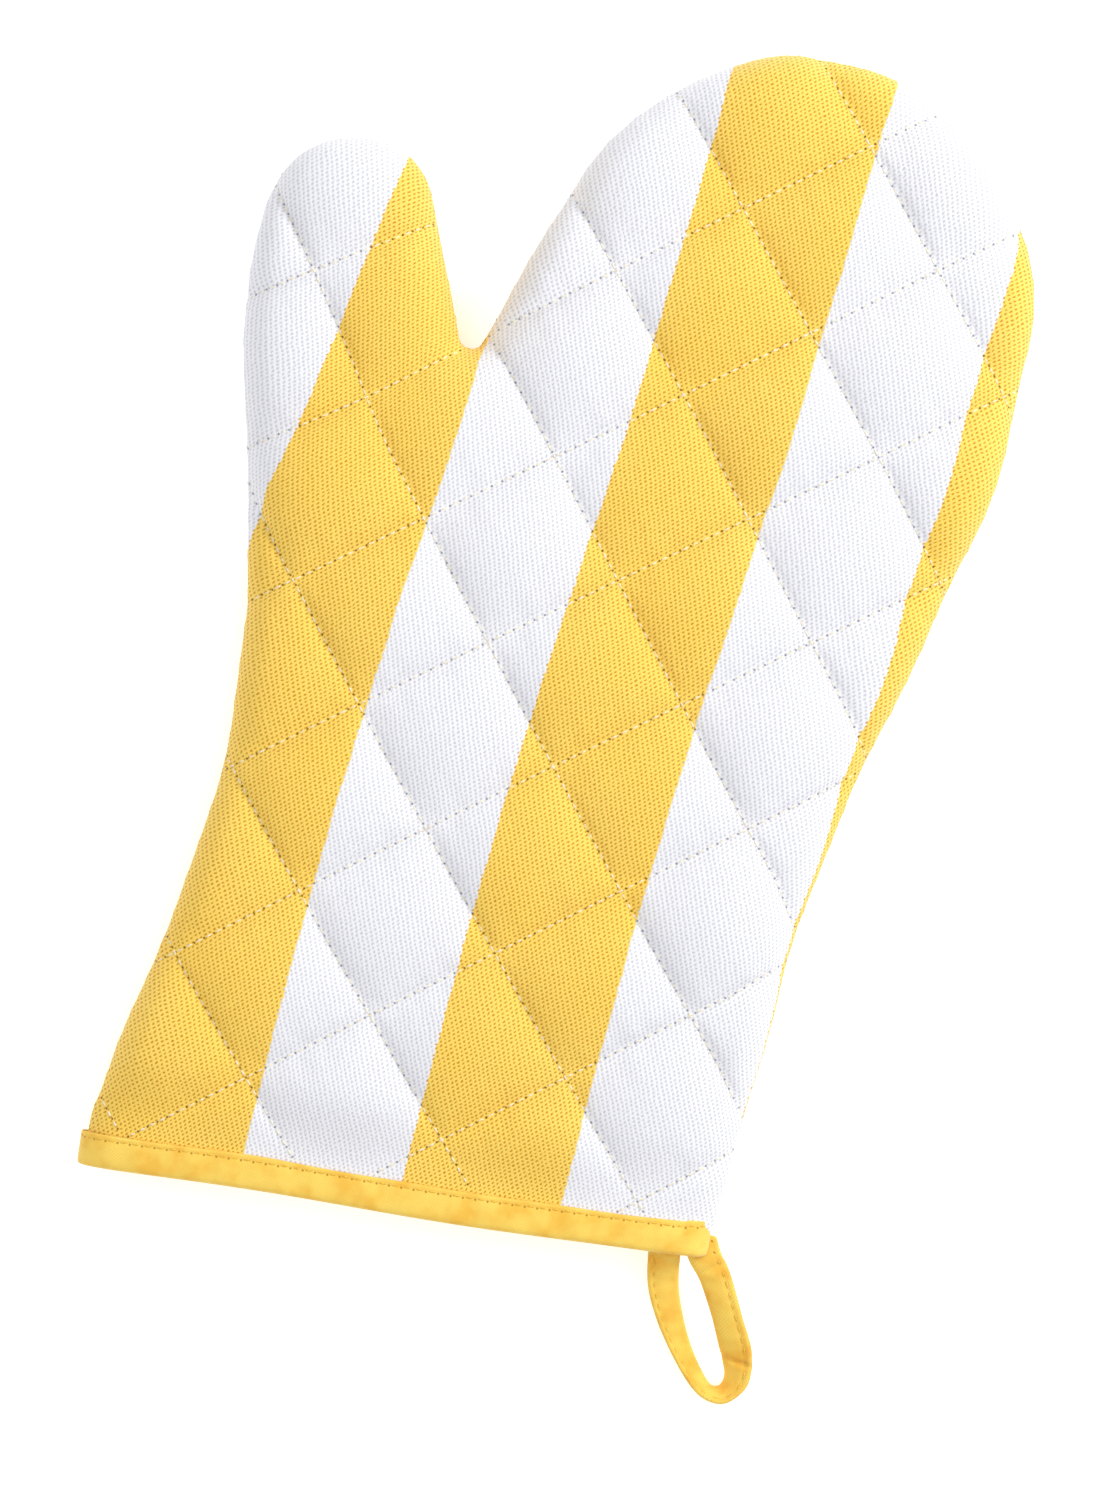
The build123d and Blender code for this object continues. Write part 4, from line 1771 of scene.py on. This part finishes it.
@dataclass
class SideSeam:
    """The trimmed and overlocked edges that lie inside, and the seam's own stitches."""

    stock: Stock
    folds: Folds
    start: float = 9.0                   # above the cuff's edge, clear of the binding
    inset: float = 6.6                   # from the silhouette to the seam
    width: float = 3.8
    half: float = 1.05
    overlock: float = 2.4                # between its bars
    stitch: float = 2.5
    seam_thread: tuple[float, float, float] = (1.9, 0.5, 0.45)
    edge_thread: tuple[float, float, float] = (2.3, 0.42, 0.35)

    def build(self, materials: dict[str, bpy.types.Material], sewer: StitchTree) -> None:
        """Make the turned-in edges, the overlocking and the seam's stitches.

        Args:
            materials: The finishes by name.
            sewer: What lays the stitches.
        """
        strip = self._strip()
        add_map(strip, "cloth", self.places)
        dress(strip, materials["lining_cotton"])
        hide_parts("seam_allowance", "seam_allowance_thumb")
        self.folds.over_thumb(strip)
        log.info("%s: %d faces", strip.name, len(strip.data.polygons))
        thread = materials["sewing_thread"]
        for name, row, size, node in (
            ("side_seam_stitches", self._seam_row(), self.seam_thread, "seam_thread"),
            ("overlocked_edge", self._overlock_row(), self.edge_thread, "overlock_thread"),
        ):
            places, along, up = row
            piece = sewer.sew(name, self.stock.drawing.metres(places), along, up, size, thread)
            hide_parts(node, f"{node}_thumb")
            self.folds.over_thumb(piece)

    def _line(self, inset: float) -> tuple[Array, Array]:
        """A line round the inside of the mitt and the way that leads into it, on the plan.

        Args:
            inset: How far the line lies inside the silhouette.

        Returns:
            Its points and the unit vectors that lead inwards.
        """
        line = self.stock.outline.edge(inset)
        line = line[line[:, 1] > self.start]
        run = unit(np.gradient(line, axis=0))
        return line, np.column_stack([run[:, 1], -run[:, 0]])

    def _strip(self) -> bpy.types.Object:
        """The two panels' edges, side by side, as a closed strip.

        Returns:
            The strip.
        """
        line, into = self._line(self.inset)
        deep = self.width * (1.0 + 0.05 * ripple(np.arange(len(line)), ((23.0, 0.0), (41.0, 1.0))))
        section = ((0.0, 0.2), (0.12, 0.55), (0.35, 0.9), (0.7, 1.0), (0.93, 0.9), (1.0, 0.5),
                   (1.0, -0.5), (0.93, -0.9), (0.7, -1.0), (0.35, -0.9), (0.12, -0.55), (0.0, -0.2))
        rings = []
        for share, rise in section:
            flat = line + into * (deep * share)[:, None]
            rings.append(np.column_stack([flat, np.full(len(line), rise * self.half)]))
        points = np.stack(rings, axis=1)
        rows, columns = points.shape[:2]
        faces = tube_faces(rows, columns, rows_closed=False, columns_closed=True)
        faces += [tuple(range(columns)), tuple(range((rows - 1) * columns, rows * columns))[::-1]]
        strip = make_piece("side_seam_edges", self.stock.drawing.metres(points.reshape(-1, 3)), faces)
        face_outwards(strip)
        self.places = np.column_stack([
            np.repeat(np.arange(rows) * 1.0, columns),
            np.tile([share * self.width + rise for share, rise in section], rows),
        ])
        return strip

    def _seam_row(self) -> tuple[Array, Array, Array]:
        """Stitches along the seam, on both of its faces.

        Returns:
            The stitches' middles, the way each runs, and the way it faces.
        """
        line, _ = self._line(self.inset + 1.2)
        line = resample(line, self.stitch)
        course = np.column_stack([unit(np.gradient(line, axis=0)), np.zeros(len(line))])
        places, up = [], []
        for sign in (1.0, -1.0):
            places.append(np.column_stack([line, np.full(len(line), sign * (0.9 * self.half + 0.08))]))
            up.append(np.tile([0.0, 0.0, sign], (len(line), 1)))
        return np.vstack(places), np.vstack([course, course]), np.vstack(up)

    def _overlock_row(self) -> tuple[Array, Array, Array]:
        """Bars over the trimmed edge: across each face and down the edge itself.

        Returns:
            The stitches' middles, the way each runs, and the way it faces.
        """
        line, into = self._line(self.inset)
        even = resample(np.column_stack([line, into]), self.overlock)
        line, into = even[:, :2], unit(even[:, 2:])
        inwards = np.column_stack([into, np.zeros(len(line))])
        places, along, up = [], [], []
        for sign in (1.0, -1.0):
            middle = line + into * (0.62 * self.width)
            places.append(np.column_stack([middle, np.full(len(line), sign * (self.half + 0.05))]))
            along.append(inwards)
            up.append(np.tile([0.0, 0.0, sign], (len(line), 1)))
        edge = line + into * (self.width + 0.06)
        places.append(np.column_stack([edge, np.zeros(len(line))]))
        along.append(np.tile([0.0, 0.0, 1.0], (len(line), 1)))
        up.append(inwards)
        return np.vstack(places), np.vstack(along), np.vstack(up)


# ---------------------------------------------------------------------------------------------
# The studio
# ---------------------------------------------------------------------------------------------


@dataclass(frozen=True)
class Studio:
    """A plain white sweep under soft light from the upper right, and a camera straight above."""

    drawing: Drawing
    look_at: tuple[float, float] = (22.3, 119.3)    # drawing millimetres
    level: float = 12.0                             # height that the frame is measured at
    frame_height: float = 375.0                     # of what the camera sees at that height
    lens: float = 100.0
    sensor: float = 36.0
    roll: float = math.radians(8.7)
    floor_colour: str = "#FFFFFF"
    # Each soft box: its name, azimuth, elevation, distance, side and watts.
    lights: tuple[tuple[str, float, float, float, float, float], ...] = (
        ("key", 38.0, 34.0, 1500.0, 560.0, 14.3),
        ("fill", 200.0, 60.0, 1700.0, 1600.0, 5.6),
        ("top", 90.0, 86.0, 2200.0, 1800.0, 9.4),
    )

    def build(self) -> None:
        """Put the floor, the lights and the camera in the scene."""
        target = np.array([*self.look_at, 0.0]) + self.drawing.origin
        target[2] = self.level
        self._floor()
        self._camera(target)
        for light in self.lights:
            self._light(target, *light)
        world = bpy.data.worlds.new("soft_white")
        world.use_nodes = True
        world.node_tree.nodes["Background"].inputs["Color"].default_value = linear("#FBFBFF")
        world.node_tree.nodes["Background"].inputs["Strength"].default_value = 0.52
        bpy.context.scene.world = world
        bpy.context.scene.view_settings.view_transform = "Standard"

    def _floor(self) -> None:
        """The plain sheet that the mitt lies on."""
        size = 4.0
        corners = np.array([(-size, -size, 0.0), (size, -size, 0.0), (size, size, 0.0), (-size, size, 0.0)])
        floor = make_piece("floor", corners, [(0, 1, 2, 3)])
        material = new_material("white_sweep")
        surface = add(material.node_tree, "ShaderNodeBsdfPrincipled", linear(self.floor_colour), named={
            "Roughness": 1.0, "Specular IOR Level": 0.0, "Emission Color": linear(self.floor_colour),
            "Emission Strength": 0.36,
        })
        add(material.node_tree, "ShaderNodeOutputMaterial", surface)
        dress(floor, material)

    def _camera(self, target: Array) -> None:
        """The camera, straight above and rolled to the mitt's lean.

        Args:
            target: What it looks at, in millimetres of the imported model's frame.
        """
        data = bpy.data.cameras.new("camera")
        data.lens = self.lens
        data.sensor_fit = "VERTICAL"
        data.sensor_height = self.sensor
        data.clip_start = 0.01
        camera = bpy.data.objects.new("camera", data)
        distance = self.frame_height * self.lens / self.sensor
        camera.location = (target + np.array([0.0, 0.0, distance])) * MM
        camera.rotation_euler = (0.0, 0.0, self.roll)
        bpy.context.scene.collection.objects.link(camera)
        bpy.context.scene.camera = camera

    @staticmethod
    def _light(target: Array, name: str, azimuth: float, elevation: float, distance: float,
               size: float, watts: float) -> bpy.types.Object:
        """A square soft box that faces the mitt.

        Args:
            target: What it faces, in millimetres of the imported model's frame.
            name: The light's name.
            azimuth: Degrees from +X towards +Y that it stands at.
            elevation: Degrees above the floor.
            distance: From the target, in millimetres.
            size: Length of its side in millimetres.
            watts: Its power.

        Returns:
            The light.
        """
        data = bpy.data.lights.new(name, "AREA")
        data.size = size * MM
        data.energy = watts
        light = bpy.data.objects.new(name, data)
        turn, lift = math.radians(azimuth), math.radians(elevation)
        away = np.array([math.cos(turn) * math.cos(lift), math.sin(turn) * math.cos(lift), math.sin(lift)])
        light.location = (target + away * distance) * MM
        light.rotation_euler = Vector(away).to_track_quat("Z", "Y").to_euler()
        bpy.context.scene.collection.objects.link(light)
        return light


# ---------------------------------------------------------------------------------------------
# The mitt
# ---------------------------------------------------------------------------------------------


@dataclass
class OvenMitt:
    """The whole mitt, built sub-assembly by sub-assembly."""

    stock: Stock
    folds: Folds

    def build(self) -> None:
        """Build every piece."""
        materials = self._materials()
        sewer = StitchTree("stitches")
        patterns = {
            "cover": PanelPattern(self.stock, spacing=self.stock.lay.pitch / 28.0, inset=0.0),
            "inner": PanelPattern(self.stock, spacing=2.5, inset=1.1),
            "lining": PanelPattern(self.stock, spacing=2.5, inset=5.2),
        }
        for side in Side:
            QuiltedPanel(self.stock, self.folds, side).build(patterns, materials, sewer)
        for part in (CuffBinding, HangingLoop, SideSeam):
            part(self.stock, self.folds).build(materials, sewer)

    def _materials(self) -> dict[str, bpy.types.Material]:
        """Each of the mitt's finishes, by its slot.

        Returns:
            The materials by name.
        """
        return {
            "striped_cotton": StripedCotton().material(),
            "binding_tape": PlainCotton("cotton_binding_tape", "#FBDB69", "#EFB43C", yarn=0.42, stitch=3.1,
                                        stitch_line=6.7).material(),
            "loop_tape": PlainCotton("cotton_loop_tape", "#FBD965", "#EBA934", yarn=0.42, stitch=3.0,
                                     stitch_line=1.6).material(),
            "lining_cotton": PlainCotton("lining_calico", "#EFEBE0", "#D9D3C2", yarn=0.5).material(),
            "wadding": Wadding().material(),
            "quilting_thread": Thread("cream_quilting_thread", "#F7F0DC", "#E4D8B8").material(),
            "sewing_thread": Thread("white_sewing_thread", "#F1F0EA", "#D8D6CC").material(),
            "yellow_thread": Thread("yellow_top_stitching_thread", "#F6CB50", "#DDA93A").material(),
        }


def write_sizes() -> None:
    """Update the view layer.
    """
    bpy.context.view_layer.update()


def main() -> None:
    """Build the mitt and its studio."""
    logging.basicConfig(level=logging.INFO, format="%(message)s")
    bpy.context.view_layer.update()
    drawing = Drawing.from_frame(frame["joints"])
    outline = Outline()
    lay = ClothLay()
    stock = Stock(drawing, outline, lay, PaddedForm(outline, lay))
    OvenMitt(stock, Folds.from_frame(frame["joints"], drawing)).build()
    Studio(drawing).build()
    write_sizes()


if __name__ == "__main__":
    main()
